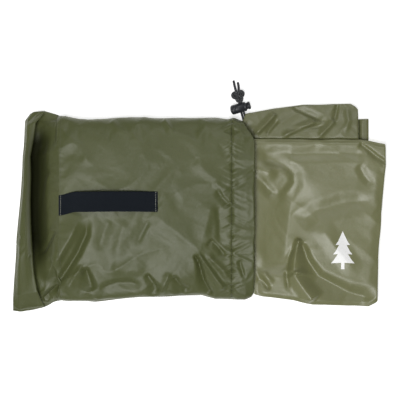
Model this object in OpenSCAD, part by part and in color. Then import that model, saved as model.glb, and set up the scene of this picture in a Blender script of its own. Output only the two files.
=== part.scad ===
// A bivy bag folded flat and half pushed into its drawcord stuff sack, lying on its back.
// +X runs from the sack's base to the folded bag, +Z is up, and the origin is under the middle.

/* [Stuff sack] */
// Length of the sack, base seam to mouth
sack_l = 245; // [200:1:300]
// Width of the sack lying flat
sack_w = 229; // [190:1:280]
// Height of the filled sack at its middle
sack_h = 36; // [33:0.5:46]
// Height of the sack at its base seam
seam_h = 31; // [28:0.5:36]
// Height of the sack at its mouth
mouth_h = 33; // [31:0.5:44]
// How far the folded base reaches past its seam
base_reach = 60; // [48:1:75]
// How far the base's corners and the bag's rear fold reach past the sack's sides
flare = 16; // [13:0.5:22]
// Thickness of a seamed, coated panel
cloth_t = 1.2; // [0.8:0.1:1.4]
// Width of the drawcord casing round the mouth
casing_w = 28; // [22:0.5:34]

/* [Bivy bag] */
// How far the folded bag sticks out of the mouth
bag_out = 166; // [120:1:220]
// How far the folded bag reaches into the sack from the mouth
bag_in = 209; // [150:1:214]
// Width of the folded top sheet
top_w = 207; // [190:1:216]
// Thickness of the folded top sheet
top_t = 7.2; // [5:0.1:7.5]
// Thickness of the folded floor sheet
floor_t = 4.2; // [3:0.1:4.5]
// Thickness of the folded hood
hood_t = 1.9; // [1.5:0.1:2.1]
// Width of the seam tape
tape_w = 18; // [12:0.5:24]
// Height of the printed mark
mark_h = 48; // [30:1:60]

/* [Webbing handle] */
// Length of the webbing
strap_l = 124; // [110:1:150]
// Width of the webbing
strap_w = 25.4; // [20:0.1:32]
// Thickness of the webbing
strap_t = 1.4; // [1:0.1:2]
// Room for fingers under the webbing
finger_gap = 5; // [4.6:0.1:9]
// Middle of the webbing across the sack
strap_y = 8; // [0:1:20]

/* [Drawcord and cord lock] */
// Diameter of the drawcord
cord_d = 3; // [2.4:0.1:3.4]
// Outer radius of the lock's barrel
lock_r = 6; // [5.6:0.1:6.8]
// Radius of the lock's plunger
plunger_r = 4.2; // [3.8:0.1:4.4]
// Travel of the lock's button
button_travel = 2.5; // [1.5:0.1:3]
// Angle of the lock's barrel to the sack's side
lock_turn = 16; // [8:1:22]
// Room between the lock and the sack's side
lock_gap = 2.4; // [1:0.1:6]

/* [Hidden] */

olive = [0.36, 0.38, 0.27];
dark_olive = [0.30, 0.32, 0.21];
pale_thread = [0.62, 0.63, 0.55];
webbing_black = [0.09, 0.10, 0.13];
cord_black = [0.07, 0.07, 0.09];
print_white = [0.93, 0.93, 0.91];
spring_steel = [0.72, 0.73, 0.75];

// The object's frame: the base's outer edge, the base seam, the casing's seam and the mouth.
total_l = base_reach + sack_l + bag_out;
left_x = -total_l / 2;
seam_x = left_x + base_reach;
mouth_x = seam_x + sack_l;
casing_x = mouth_x - casing_w;
right_x = total_l / 2;
half_w = sack_w / 2;
half_span = half_w + flare;
play = 0.3;            // room between pieces that slide on each other
touch = 0.05;          // room between pieces that only lie on each other

// Crest height of the sack's front at x, and the front's height there at y.
bulge = sack_h - (seam_h + mouth_h) / 2;
squareness = 4;        // exponent of the arch: 2 is an ellipse, more is squarer
function along(x) = (x - seam_x) / (casing_x - seam_x);
function crest(x) = seam_h + (mouth_h - seam_h) * along(x) + bulge * sin(180 * along(x));
function arch_z(y, half, low, high) =
    low + (high - low) * pow(max(0, 1 - pow(abs(y) / half, squareness)), 1 / squareness);
function front_z(x, y) = arch_z(y, half_w, cloth_t, crest(x));

// Points of an arch over the sack's width, from -Y to +Y, as [y, z].
arch_steps = 20;
function arch(half, low, high) = [for (i = [0:arch_steps])
    let (a = 180 - 180 * i / arch_steps)
    [half * sign(cos(a)) * pow(abs(cos(a)), 2 / squareness),
     low + (high - low) * pow(max(0, sin(a)), 2 / squareness)]];

// A closed sheet between two grids of points, [row][column], that the first grid's side faces out of.
module sheet(outer, inner) {
    rows = len(outer);
    cols = len(outer[0]);
    function at(side, i, j) = (side * rows + i) * cols + j;
    function quad(a, b, c, d) = [[a, b, c], [a, c, d]];
    points = [for (grid = [outer, inner]) for (row = grid) for (p = row) p];
    faces = [
        for (i = [0:rows - 2]) for (j = [0:cols - 2]) each concat(
            quad(at(0, i, j), at(0, i, j + 1), at(0, i + 1, j + 1), at(0, i + 1, j)),
            quad(at(1, i, j), at(1, i + 1, j), at(1, i + 1, j + 1), at(1, i, j + 1))),
        for (i = [0:rows - 2]) each concat(
            quad(at(0, i, 0), at(0, i + 1, 0), at(1, i + 1, 0), at(1, i, 0)),
            quad(at(0, i, cols - 1), at(1, i, cols - 1), at(1, i + 1, cols - 1), at(0, i + 1, cols - 1))),
        for (j = [0:cols - 2]) each concat(
            quad(at(0, 0, j + 1), at(0, 0, j), at(1, 0, j), at(1, 0, j + 1)),
            quad(at(0, rows - 1, j), at(0, rows - 1, j + 1), at(1, rows - 1, j + 1), at(1, rows - 1, j)))];
    polyhedron(points, faces);
}

// A flat line of [x, z] points moved to its right by t, which is inwards for a line that runs clockwise.
function unit(v) = v / norm(v);
function right_of(v) = [v[1], -v[0]];
function inset_line(line, t) = [for (i = [0:len(line) - 1])
    let (before = i > 0 ? unit(line[i] - line[i - 1]) : unit(line[1] - line[0]),
         after = i < len(line) - 1 ? unit(line[i + 1] - line[i]) : before,
         middle = unit(before + after))
    line[i] + t * right_of(middle) / max(0.5, middle * after)];

// A round cord along a route of points, with "up" square to the plane that the route mostly lies in.
module cord(route, up, sides = 8) {
    last = len(route) - 1;
    rings = [for (i = [0:last])
        let (along = unit(route[min(i + 1, last)] - route[max(i - 1, 0)]),
             across = unit(cross(along, up)),
             above = cross(across, along))
        for (k = [0:sides - 1])
            route[i] + cord_d / 2 * (cos(360 * k / sides) * across + sin(360 * k / sides) * above)];
    faces = [
        for (i = [0:last - 1]) for (k = [0:sides - 1])
            let (a = i * sides + k, b = i * sides + (k + 1) % sides)
            each [[a, a + sides, b + sides], [a, b + sides, b]],
        [for (k = [0:sides - 1]) k],
        [for (k = [sides - 1:-1:0]) last * sides + k]];
    polyhedron(rings, faces);
}

// Short stitches on the sack's front in a row across it at x.
stitch_l = 2.4;
stitch_t = 0.5;
stitch_pitch = 4.2;
module stitch() {
    translate([-stitch_t / 2, -stitch_l / 2, 0]) cube([stitch_t, stitch_l, stitch_t]);
}
// The row leaves out the stitches between skip[0] and skip[1].
module stitched_row(x, skip = [0, 0]) {
    reach = half_w - 8;
    count = floor(2 * reach / stitch_pitch);
    for (i = [0:count]) {
        y = -reach + 2 * reach * i / count;
        lean = atan2(front_z(x, y + 0.5) - front_z(x, y - 0.5), 1);
        if (y < skip[0] || y > skip[1])
            translate([x, y, front_z(x, y) + touch + stitch_t * abs(sin(lean))]) rotate([lean, 0, 0]) stitch();
    }
}

// ---- Stuff sack ----

// Front panel: the arched sheet over the folded bag.
module sack_front_panel() {
    stations = [for (i = [0:8]) seam_x + (casing_x - seam_x) * i / 8];
    color(olive) sheet(
        [for (x = stations) [for (p = arch(half_w, cloth_t, crest(x))) [x, p[0], p[1]]]],
        [for (x = stations) [for (p = arch(half_w - cloth_t, cloth_t, crest(x) - cloth_t)) [x, p[0], p[1]]]]);
}

// Back panel: the flat sheet that the sack lies on.
module sack_back_panel() {
    color(olive) translate([seam_x, -half_w, 0]) cube([casing_x - seam_x, sack_w, cloth_t]);
}

// Base panel: the boxed end, folded flat, with a pleat between its flap and the base seam.
flap_skew = 15;        // how much further the flap reaches at -Y than at +Y
flap_w = 24;           // from the flap's outer edge to its fold
flap_h = 14;
pleat_z = 4.2;
flap_bow = 15;         // how far the flap's fold bows towards the base's outer edge
// A stretch of the base past the sack's side lies low and narrow: 1 beside the sack, 0 at the corner.
function beside(y) = 1 - max(0, abs(y) - half_w) / flare;
function base_left(y) = left_x + flap_skew * (y + half_span) / (2 * half_span);
function base_fold(y) = left_x + flap_w + flap_bow * pow(y / half_span, 2);
function base_profile(y) = let (
        b = beside(y),
        end_x = seam_x - cloth_t - touch - (1 - b) * 22,
        end_z = max(2.8 * cloth_t, front_z(seam_x, y)),
        fold_x = base_fold(y),
        low = 2.6 * cloth_t + (pleat_z - 2.6 * cloth_t) * b,
        tall = low + 0.8 + (flap_h - pleat_z) * b)
    [[end_x, 0], [base_left(y) + 3, 0], [base_left(y), 2], [base_left(y) + 6, 0.7 * tall],
     [fold_x - 6, tall], [fold_x, tall - 0.6], [fold_x + 2, low], [fold_x + 7, low],
     [end_x - 9, low + (end_z - low) * 0.6], [end_x, end_z]];
module sack_base_panel() {
    stations = [-half_span, -half_w - flare / 2, -half_w, -0.93 * half_w, -0.8 * half_w, -half_w / 2, 0,
        half_w / 2, 0.8 * half_w, 0.93 * half_w, half_w, half_w + flare / 2];
    outer = [for (y = stations) [for (p = base_profile(y)) [p[0], y, p[1]]]];
    inner = [for (y = stations) [for (p = inset_line(base_profile(y), cloth_t)) [p[0], y, p[1]]]];
    rows = len(outer[0]) - 1;
    color(olive) sheet(
        [for (i = [0:rows]) [for (station = outer) station[i]]],
        [for (i = [0:rows]) [for (station = inner) station[i]]]);
}

// Side seam: the overlocked allowance that stands out along one side.
seam_fin = 3;
module sack_side_seam() {
    color(dark_olive) translate([seam_x, -half_w - seam_fin - touch, 0])
        cube([casing_x - seam_x, seam_fin, cloth_t]);
}

// Drawcord casing: a turned hem round the mouth with the cord's tunnel in it, and a slit for the cord.
casing_t = 2 * cloth_t + cord_d + 0.4;
module ring_area(inset) {
    half = half_w - inset;
    polygon([for (p = arch(half, inset, mouth_h - inset)) [p[0], p[1]]]);
}
// A prism of the sack's mouth outline, inset all round, from x and so long.
module mouth_prism(inset, x, length) {
    translate([x, 0, 0]) rotate([90, 0, 90]) linear_extrude(length) ring_area(inset);
}
module drawcord_casing() {
    color(olive) difference() {
        mouth_prism(0, casing_x, casing_w);
        mouth_prism(casing_t, casing_x - 1, casing_w + 2);
        difference() {
            mouth_prism(cloth_t, casing_x + cloth_t, casing_w - 2 * cloth_t);
            mouth_prism(casing_t - cloth_t, casing_x, casing_w);
        }
        translate([exit_x - slit_l / 2, half_w - casing_t / 2, lock_z - slit_h / 2])
            cube([slit_l, casing_t, slit_h]);
    }
}
module casing_stitching() {
    color(pale_thread) stitched_row(casing_x - 1.5);
}
module base_seam_stitching() {
    color(dark_olive) stitched_row(seam_x + 1.5,
        [strap_y - strap_w / 2 - stitch_l, strap_y + strap_w / 2 + stitch_l]);
}

// ---- Webbing handle ----

// The webbing's underside: sewn flat at both ends, clear of the front in between.
sewn_l = 7;
strap_x = seam_x + 0.5;
strap_end_x = strap_x + strap_l;
strap_low_x = strap_x + 0.24 * strap_l;
strap_high_x = strap_x + 0.74 * strap_l;
strap_top = crest(strap_high_x) + finger_gap;
strap_line = [[strap_x, crest(strap_x) + touch], [strap_x + sewn_l, crest(strap_x + sewn_l) + touch],
    [strap_low_x, strap_top], [strap_high_x, strap_top],
    [strap_end_x - sewn_l, crest(strap_end_x - sewn_l) + touch], [strap_end_x, crest(strap_end_x) + touch]];
module webbing_handle() {
    top = inset_line(strap_line, -strap_t);
    color(webbing_black) translate([0, strap_y + strap_w / 2, 0]) rotate([90, 0, 0])
        linear_extrude(strap_w) polygon(concat(strap_line, [for (i = [len(top) - 1:-1:0]) top[i]]));
}
module handle_stitching() {
    count = 8;
    color(pale_thread) for (x = [strap_x + 2.4, strap_end_x - 2.4]) for (i = [0:count - 1])
        translate([x, strap_y + (i - (count - 1) / 2) * 3, crest(x) + strap_t + 3 * touch]) stitch();
}

// ---- Drawcord ----

// Stations along the barrel from its closed end, with the pair of cords' middle at cords_s.
shell_t = 1.6;
spring_bay = 7.6;
dome_l = 3.2;
plunger_wall = 1.8;
pinch = 0.15;          // room beside the cords at rest, where the plunger holds them
slot_l = 2 * cord_d + 0.1 + button_travel + 2 * pinch;
plunger_s = shell_t + spring_bay;
slot_s = plunger_s + plunger_wall;
cords_s = slot_s + pinch + cord_d + 0.05;
barrel_l = slot_s + slot_l + 0.7;
cap_s = barrel_l + button_travel + 0.1;
cap_l = 3;
cap_r = 5;
bore_r = plunger_r + 0.08;
cord_hole_w = 2 * cord_d + 0.1 + 0.8;
cord_hole_h = cord_d + 0.5;

// The lock's place: its cords run through it side by side, square to its barrel.
pair_pitch = cord_d + 0.1;
lock_z = lock_r + play;
lock_axis = [cos(lock_turn), sin(lock_turn), 0];
cord_axis = [-sin(lock_turn), cos(lock_turn), 0];
lock_at = [mouth_x - 16.2, half_w + lock_gap + cords_s * sin(lock_turn) + lock_r * cos(lock_turn), lock_z];
exit_y = half_w + 1;
function on_lead(side, y) =
    let (start = lock_at + side * pair_pitch / 2 * lock_axis)
    start + (y - start[1]) / cord_axis[1] * cord_axis;
exit_x = (on_lead(-1, exit_y)[0] + on_lead(1, exit_y)[0]) / 2;
slit_l = 2 * pair_pitch + 2;
slit_h = cord_d + 0.8;
knot_start = lock_r + play;
knot_l = 10.5;
knot_r = 6.2;

// The cord in its tunnel: out of the slit, over the front, back along the bottom and out again.
module drawcord_loop() {
    inset = casing_t / 2;
    a = on_lead(-1, exit_y);
    b = on_lead(1, exit_y);
    over = [for (p = arch(half_w - inset, inset, mouth_h - inset)) if (p[1] > lock_z + 2 || p[0] < 0) p];
    side_y = half_w - inset;
    route = concat(
        [a, [a[0], side_y, lock_z]],
        [for (i = [len(over) - 1:-1:0]) [a[0], over[i][0], over[i][1]]],
        [for (y = [-0.6, -0.2, 0.2, 0.6]) [(a[0] + b[0]) / 2 + (b[0] - a[0]) * y / 1.2, y * side_y, inset]],
        [[b[0], side_y - 9, inset], [b[0], side_y - 4, (inset + lock_z) / 2], [b[0], side_y, lock_z], b]);
    color(cord_black) cord(route, [1, 0, 0]);
}
// The two leads that run from the slit through the lock to the knot.
module drawcord_leads() {
    color(cord_black) for (side = [-1, 1])
        cord([on_lead(side, exit_y), lock_at + side * pair_pitch / 2 * lock_axis,
            lock_at + side * pair_pitch / 2 * lock_axis + knot_start * cord_axis], [0, 0, 1]);
}
// Outline of the knot that both leads are tied into.
module drawcord_knot() {
    color(cord_black) translate(lock_at + knot_start * cord_axis) rotate([-90, 0, lock_turn])
        rotate_extrude($fn = 48) polygon([[0, 0], [knot_r - 2, 0], [knot_r, 2.5],
            [knot_r, knot_l - 2.5], [knot_r - 2, knot_l], [0, knot_l]]);
}
// The two cut ends past the knot, as routes of [along the lock's axis, past the knot, drop].
tail_long = [[-1.6, 0, 0], [-1.7, 3, 0.3], [-1.9, 7, 0.45], [-2, 12, 0.7], [-2.2, 17, 1]];
tail_short = [[1.6, 0, 0], [1.7, 3, 0.3], [1.8, 7, 0.45], [1.9, 11, 0.7], [1.9, 15, 1]];
module drawcord_tails() {
    for (tail = [tail_long, tail_short])
        color(cord_black) cord([for (p = tail) lock_at + p[0] * lock_axis
            + (knot_start + knot_l + p[1]) * cord_axis
            - [0, 0, p[2] * (lock_z - cord_d / 2 - touch)]], [0, 0, 1]);
}

// ---- Cord lock ----

// Puts a shape that is drawn along +Z from the barrel's closed end in the lock's place.
module in_lock() {
    translate(lock_at - cords_s * lock_axis) rotate([0, 0, lock_turn]) rotate([0, 90, 0]) children();
}
module cross_slot(s, length) {
    translate([-cord_hole_h / 2, -lock_r - 1, s]) cube([cord_hole_h, 2 * lock_r + 2, length]);
}
module cord_lock_body() {
    dome = [for (a = [0:15:90]) [lock_r * sin(a), dome_l * (1 - cos(a))]];
    color(webbing_black) in_lock() difference() {
        rotate_extrude($fn = 64) polygon(concat(dome, [[lock_r, barrel_l - 4], [lock_r - 0.7, barrel_l],
            [0, barrel_l]]));
        translate([0, 0, shell_t]) cylinder(r = bore_r, h = barrel_l, $fn = 64);
        cross_slot(cords_s - cord_hole_w / 2, cord_hole_w);
    }
}
module cord_lock_button() {
    color(webbing_black) in_lock() difference() {
        union() {
            translate([0, 0, plunger_s]) cylinder(r = plunger_r, h = cap_s + 1 - plunger_s, $fn = 64);
            translate([0, 0, cap_s]) rotate_extrude($fn = 64)
                polygon([[0, 0], [cap_r, 0], [cap_r, cap_l - 1.2], [cap_r - 1.2, cap_l], [0, cap_l]]);
        }
        cross_slot(slot_s, slot_l);
    }
}
// The spring that pushes the plunger out and so pinches the cords.
spring_r = 2.9;
wire_r = 0.35;
spring_turns = 5;
module cord_lock_spring() {
    low = shell_t + wire_r + touch;
    rise = spring_bay - 2 * wire_r - 2 * touch;
    steps = 12 * spring_turns;
    sides = 6;
    rings = [for (i = [0:steps]) let (a = 30 * i) for (k = [0:sides - 1])
        let (r = spring_r + wire_r * cos(60 * k))
        [r * cos(a), r * sin(a), low + rise * i / steps + wire_r * sin(60 * k)]];
    faces = [
        for (i = [0:steps - 1]) for (k = [0:sides - 1])
            let (a = i * sides + k, b = i * sides + (k + 1) % sides)
            each [[a, b + sides, a + sides], [a, b, b + sides]],
        [for (k = [sides - 1:-1:0]) k],
        [for (k = [0:sides - 1]) steps * sides + k]];
    color(spring_steel) in_lock() polyhedron(rings, faces);
}

// ---- Bivy bag ----

// Heights of the folded layers inside the sack and where they lie on the ground outside it.
stack_z = casing_t + play;
hood_z = stack_z;
floor_z = hood_z + hood_t + play;
tape_t = 0.4;
top_z = floor_z + floor_t + 2 * play + tape_t;
in_x = mouth_x - bag_in;
drop_x = mouth_x + 14;   // where the layers have come down to the ground
settle = 4;              // how much the layers close up outside the sack
// A folded layer through sections of [x at -Y, x at +Y, lowest y, highest y, lowest z, highest z].
module folded_layer(sections) {
    sheet(
        [for (s = sections) [[s[0], s[2], s[5]], [s[1], s[3], s[5]]]],
        [for (s = sections) [[s[0], s[2], s[4]], [s[1], s[3], s[4]]]]);
}
// The folded widths inside the sack keep clear of its sides.
inner_low = -(half_w - 14);
inner_high = half_w - 12;
fold_low = -(half_w + 8);
fold_high = fold_low + top_w;
corner_slant = 11;
module bivy_top_sheet() {
    low = floor_t + hood_t + 3 * play;
    color(olive) folded_layer([
        [in_x, in_x, inner_low + 2, fold_high - 6, top_z, top_z + top_t],
        [mouth_x + 1, mouth_x + 1, inner_low, fold_high - 5, top_z, top_z + top_t],
        [drop_x, drop_x, fold_low + 12, fold_high, low, low + top_t + settle],
        [mouth_x + 72, mouth_x + 72, fold_low + 2, fold_high, low, low + top_t + settle],
        [right_x - corner_slant, right_x, fold_low, fold_high, low, low + top_t + settle]]);
}
floor_end = right_x - 35;
module bivy_floor_sheet() {
    color(dark_olive) folded_layer([
        [in_x, in_x, inner_low + 4, inner_high - 2, floor_z, floor_z + floor_t],
        [mouth_x + 1, mouth_x + 1, inner_low + 4, inner_high, floor_z, floor_z + floor_t],
        [drop_x, drop_x, inner_low + 4, half_w + flare / 2, hood_t + play, hood_t + play + floor_t],
        [mouth_x + 55, mouth_x + 55, inner_low, half_span - 3, hood_t + play, hood_t + play + floor_t],
        [floor_end - 12, floor_end - 12, inner_low, half_span, hood_t + play, hood_t + play + floor_t],
        [floor_end, floor_end, inner_low, half_span - 8, hood_t + play, hood_t + play + floor_t]]);
}
module bivy_hood() {
    color(dark_olive) folded_layer([
        [in_x + 8, in_x + 8, inner_low + 8, inner_high - 6, hood_z, hood_z + hood_t],
        [mouth_x + 1, mouth_x + 1, inner_low + 8, inner_high - 6, hood_z, hood_z + hood_t],
        [drop_x, drop_x, inner_low + 8, inner_high - 2, 0, hood_t],
        [floor_end + 13, floor_end + 13, inner_low + 12, half_w - 3, 0, hood_t]]);
}
// The hood's hem, a stitched tunnel at the folded bag's inner end.
hem_d = 5.4;
hem_l = 120;
hem_hole_r = 1.7;
module hood_hem() {
    color(dark_olive) translate([in_x - hem_d - touch, -hem_l / 2, hood_z]) difference() {
        cube([hem_d, hem_l, hem_d]);
        translate([hem_d / 2, -1, hem_d / 2]) rotate([-90, 0, 0])
            cylinder(r = hem_hole_r, h = hem_l + 2, $fn = 32);
    }
}
// The tape that seals the seam between the top sheet and the floor sheet.
module bivy_seam_tape() {
    color([0.55, 0.56, 0.48]) translate([in_x + 6, 40, floor_z + floor_t + play])
        cube([bag_in - 14, tape_w, tape_t]);
}
// The printed mark: a plain conifer of three tiers and a trunk.
mark_at = [right_x - 55, -53];
mark_t = 0.3;
module printed_mark() {
    tier_h = 0.36 * mark_h;
    color(print_white) translate([mark_at[0], mark_at[1] - mark_h / 2, floor_t + hood_t + 3 * play + top_t + settle])
        linear_extrude(mark_t) {
            translate([-0.045 * mark_h, 0]) square([0.09 * mark_h, 0.2 * mark_h]);
            for (i = [0:2]) translate([0, (0.16 + 0.24 * i) * mark_h])
                polygon([[-(0.31 - 0.06 * i) * mark_h, 0], [(0.31 - 0.06 * i) * mark_h, 0], [0, tier_h]]);
        }
}

sack_front_panel();
sack_back_panel();
sack_base_panel();
sack_side_seam();
drawcord_casing();
casing_stitching();
base_seam_stitching();
webbing_handle();
handle_stitching();
drawcord_loop();
drawcord_leads();
drawcord_knot();
drawcord_tails();
cord_lock_body();
cord_lock_button();
cord_lock_spring();
bivy_top_sheet();
bivy_floor_sheet();
bivy_hood();
hood_hem();
bivy_seam_tape();
printed_mark();
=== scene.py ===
import math

import bmesh
import bpy
import numpy as np
from mathutils import Matrix, Vector
from mathutils.bvhtree import BVHTree


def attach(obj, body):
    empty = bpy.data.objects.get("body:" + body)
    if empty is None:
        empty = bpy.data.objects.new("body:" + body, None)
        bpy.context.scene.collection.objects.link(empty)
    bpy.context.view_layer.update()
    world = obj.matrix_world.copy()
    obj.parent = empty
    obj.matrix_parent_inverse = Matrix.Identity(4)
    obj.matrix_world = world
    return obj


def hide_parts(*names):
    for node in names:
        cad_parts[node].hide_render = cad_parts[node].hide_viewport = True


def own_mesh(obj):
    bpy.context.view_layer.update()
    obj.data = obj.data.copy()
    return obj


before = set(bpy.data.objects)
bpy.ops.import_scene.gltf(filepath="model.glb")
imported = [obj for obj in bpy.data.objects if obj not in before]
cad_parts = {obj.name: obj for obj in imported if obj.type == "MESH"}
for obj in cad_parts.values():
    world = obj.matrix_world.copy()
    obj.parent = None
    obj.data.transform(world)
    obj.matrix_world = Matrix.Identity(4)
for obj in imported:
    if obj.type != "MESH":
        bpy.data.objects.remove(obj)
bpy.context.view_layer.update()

MM = 0.001


# ---- The studio: a white sweep, three soft lights and a camera looking straight down. ----
# The floor is a plain matt sheet, big enough that its edge never shows.
bpy.ops.object.select_all(action="DESELECT")
bpy.ops.mesh.primitive_plane_add(size=8, location=(0, 0, 0))
floor = bpy.context.object
floor.name = "studio_floor"
floor_paint = bpy.data.materials.new("studio_white")
floor_paint.use_nodes = True
floor_look = floor_paint.node_tree.nodes["Principled BSDF"].inputs
floor_look["Base Color"].default_value = (0.8, 0.8, 0.8, 1)
floor_look["Roughness"].default_value = 0.9
floor_look["Specular IOR Level"].default_value = 0.1
floor_look["Emission Color"].default_value = (1, 1, 1, 1)
floor_look["Emission Strength"].default_value = 0.62
floor.data.materials.append(floor_paint)

world = bpy.data.worlds.new("studio_air")
world.use_nodes = True
air_look = world.node_tree.nodes["Background"].inputs
air_look["Color"].default_value = (1, 1, 1, 1)
air_look["Strength"].default_value = 0.13
bpy.context.scene.world = world


def soft_light(name, place, size, watts):
    """A square softbox that points at the middle of the floor."""
    lamp = bpy.data.lights.new(name, "AREA")
    lamp.shape = "SQUARE"
    lamp.size = size
    lamp.energy = watts
    holder = bpy.data.objects.new(name, lamp)
    holder.location = place
    holder.rotation_euler = (-Vector(place)).to_track_quat("-Z", "Y").to_euler()
    bpy.context.scene.collection.objects.link(holder)


soft_light("over_light", (-0.5, -0.75, 2.6), 1.1, 46)
soft_light("near_light", (-0.35, -1.35, 1.5), 0.8, 4)
soft_light("far_light", (0.3, 1.3, 1.6), 0.8, 9)

camera_data = bpy.data.cameras.new("studio_camera")
camera_data.lens = 180
camera_data.sensor_width = 36
camera = bpy.data.objects.new("studio_camera", camera_data)
camera.location = (0.00125, 0.010, 2.53)
bpy.context.scene.collection.objects.link(camera)
bpy.context.scene.camera = camera
bpy.context.scene.view_settings.view_transform = "Standard"


# ---- Cord lock: a moulded barrel, the button that slides in it and the spring behind the button. ----
# Both are turned shapes in black plastic with a slot across them for the pair of cords. The spring
# sits in the bottom of the bore and holds the cords pinched between the two slots.
CORD = 3.0
MOUTH_X = 69.5
HALF = 114.5
LOCK_TURN = math.radians(16)
LOCK_AXIS = np.array([math.cos(LOCK_TURN), math.sin(LOCK_TURN), 0])
CORD_AXIS = np.array([-math.sin(LOCK_TURN), math.cos(LOCK_TURN), 0])
BARREL_R, BORE_R, PLUNGER_R, CAP_R = 6.0, 4.28, 4.2, 5.0
CORDS_S, PLUNGER_S, SLOT_S, SLOT_L, BARREL_L, CAP_S = 14.2, 9.2, 11.0, 8.9, 20.6, 23.2
LOCK_GAP = 2.4
LOCK_AT = np.array([
    MOUTH_X - 16.2, HALF + LOCK_GAP + CORDS_S * math.sin(LOCK_TURN) + BARREL_R * math.cos(LOCK_TURN), 6.3])
LOCK_END = LOCK_AT - CORDS_S * LOCK_AXIS
in_lock = (Matrix.Translation(Vector(LOCK_END * MM)) @ Matrix.Rotation(LOCK_TURN, 4, "Z")
           @ Matrix.Rotation(math.pi / 2, 4, "Y"))


def from_bmesh(name, mesh):
    """An object from a mesh that is built point by point."""
    data = bpy.data.meshes.new(name)
    mesh.to_mesh(data)
    mesh.free()
    piece = bpy.data.objects.new(name, data)
    bpy.context.scene.collection.objects.link(piece)
    return piece


def cut_with(piece, cutter, operation):
    """Cuts a piece with another, which is then removed."""
    bpy.ops.object.select_all(action="DESELECT")
    bpy.context.view_layer.objects.active = piece
    cut = piece.modifiers.new("cut", "BOOLEAN")
    cut.operation = operation
    cut.solver = "EXACT"
    cut.object = cutter
    bpy.ops.object.modifier_apply(modifier="cut")
    bpy.data.objects.remove(cutter, do_unlink=True)


def lengths_along(points):
    """How far along a line each of its points lies."""
    return np.concatenate([[0], np.cumsum(np.linalg.norm(np.diff(points, axis=0), axis=1))])


def round_tube(name, route, radius, sides):
    """A closed tube along a route in mm, with a UV map: u once round, v in mm along it."""
    count = len(route)
    radius = np.broadcast_to(radius, (count,))
    ahead = np.gradient(route, axis=0)
    ahead /= np.linalg.norm(ahead, axis=1)[:, None]
    across = np.cross(ahead[0], [0.13, 0.21, 0.97])
    mesh = bmesh.new()
    uv = mesh.loops.layers.uv.new("cloth_uv")
    rings = []
    for i in range(count):
        across = across - ahead[i] * np.dot(across, ahead[i])
        across /= np.linalg.norm(across)
        above = np.cross(ahead[i], across)
        spokes = [math.cos(a) * across + math.sin(a) * above
                  for a in np.linspace(0, 2 * math.pi, sides, endpoint=False)]
        rings.append([mesh.verts.new((route[i] + radius[i] * spoke) * MM) for spoke in spokes])
    gone = lengths_along(route)
    for i in range(count - 1):
        for k in range(sides):
            n = (k + 1) % sides
            face = mesh.faces.new((rings[i][k], rings[i][n], rings[i + 1][n], rings[i + 1][k]))
            face.smooth = True
            for loop, (u, v) in zip(face.loops, ((k, i), (k + 1, i), (k + 1, i + 1), (k, i + 1))):
                loop[uv].uv = (u / sides, gone[v])
    mesh.faces.new(rings[0][::-1])
    mesh.faces.new(rings[-1])
    return from_bmesh(name, mesh)


def turned(name, outline, slot_from, slot_length):
    """A solid turned from [along the barrel, radius] points in mm, with a rounded slot cut across it."""
    mesh = bmesh.new()
    steps = 72
    turns = np.linspace(0, 2 * math.pi, steps, endpoint=False)
    rings = []
    for along, out in outline:
        rings.append([mesh.verts.new((out * MM * math.cos(a), out * MM * math.sin(a), along * MM))
                      for a in (turns if out else (0,))])
    for low, high in zip(rings[:-1], rings[1:]):
        for k in range(steps):
            n = (k + 1) % steps
            corners = [low[k % len(low)], low[n % len(low)], high[n % len(high)], high[k % len(high)]]
            mesh.faces.new(list(dict.fromkeys(corners)))
    bmesh.ops.recalc_face_normals(mesh, faces=mesh.faces)
    piece = from_bmesh(name, mesh)
    bpy.ops.mesh.primitive_cube_add(size=1, location=(0, 0, (slot_from + slot_length / 2) * MM))
    cutter = bpy.context.object
    cutter.scale = ((CORD + 0.5) * MM, 16 * MM, slot_length * MM)
    bpy.ops.object.transform_apply(location=True, scale=True)
    soften = cutter.modifiers.new("soften", "BEVEL")
    soften.width = 0.0009
    soften.segments = 4
    bpy.ops.object.modifier_apply(modifier="soften")
    cut_with(piece, cutter, "DIFFERENCE")
    edges = piece.modifiers.new("edges", "BEVEL")
    edges.width = 0.00022
    edges.segments = 2
    edges.limit_method = "ANGLE"
    edges.angle_limit = math.radians(50)
    bpy.ops.object.modifier_apply(modifier="edges")
    piece.data.transform(in_lock)
    piece.data.update()
    for face in piece.data.polygons:
        face.use_smooth = True
    return piece


def feed(tree, node, inputs):
    """Sets a node's inputs, each to a number or to the output that feeds it."""
    for key, value in inputs.items():
        if isinstance(value, bpy.types.NodeSocket):
            tree.links.new(value, node.inputs[key])
        else:
            node.inputs[key].default_value = value


def add(tree, kind, inputs, output=0, **settings):
    """A new node with its settings and inputs; gives the output asked for."""
    node = tree.nodes.new("ShaderNode" + kind)
    for key, value in settings.items():
        setattr(node, key, value)
    feed(tree, node, inputs)
    return node.outputs[output]


def finish_of(name, look):
    """A material whose shader has the inputs that look(tree) gives."""
    material = bpy.data.materials.new(name)
    material.use_nodes = True
    tree = material.node_tree
    feed(tree, tree.nodes["Principled BSDF"], look(tree))
    return material


def moulded(name, colour, rough, metal=0.0):
    """Moulded plastic or drawn wire: one colour, with faint flow marks in its shine."""
    def look(tree):
        place = add(tree, "TexCoord", {}, "Object")
        flow = add(tree, "TexNoise", {"Vector": place, "Scale": 240, "Detail": 4}, "Fac")
        tint = add(tree, "Mix", {"A": (*[c * 0.75 for c in colour], 1), "B": (*colour, 1), "Factor": flow},
                   "Result", data_type="RGBA")
        gloss = add(tree, "MapRange", {"To Min": rough - 0.05, "To Max": rough + 0.1, "Value": flow})
        bump = add(tree, "Bump", {"Strength": 0.2, "Distance": 0.0001, "Height": flow})
        return {"Metallic": metal, "Base Color": tint, "Roughness": gloss, "Normal": bump}
    return finish_of(name, look)


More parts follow.
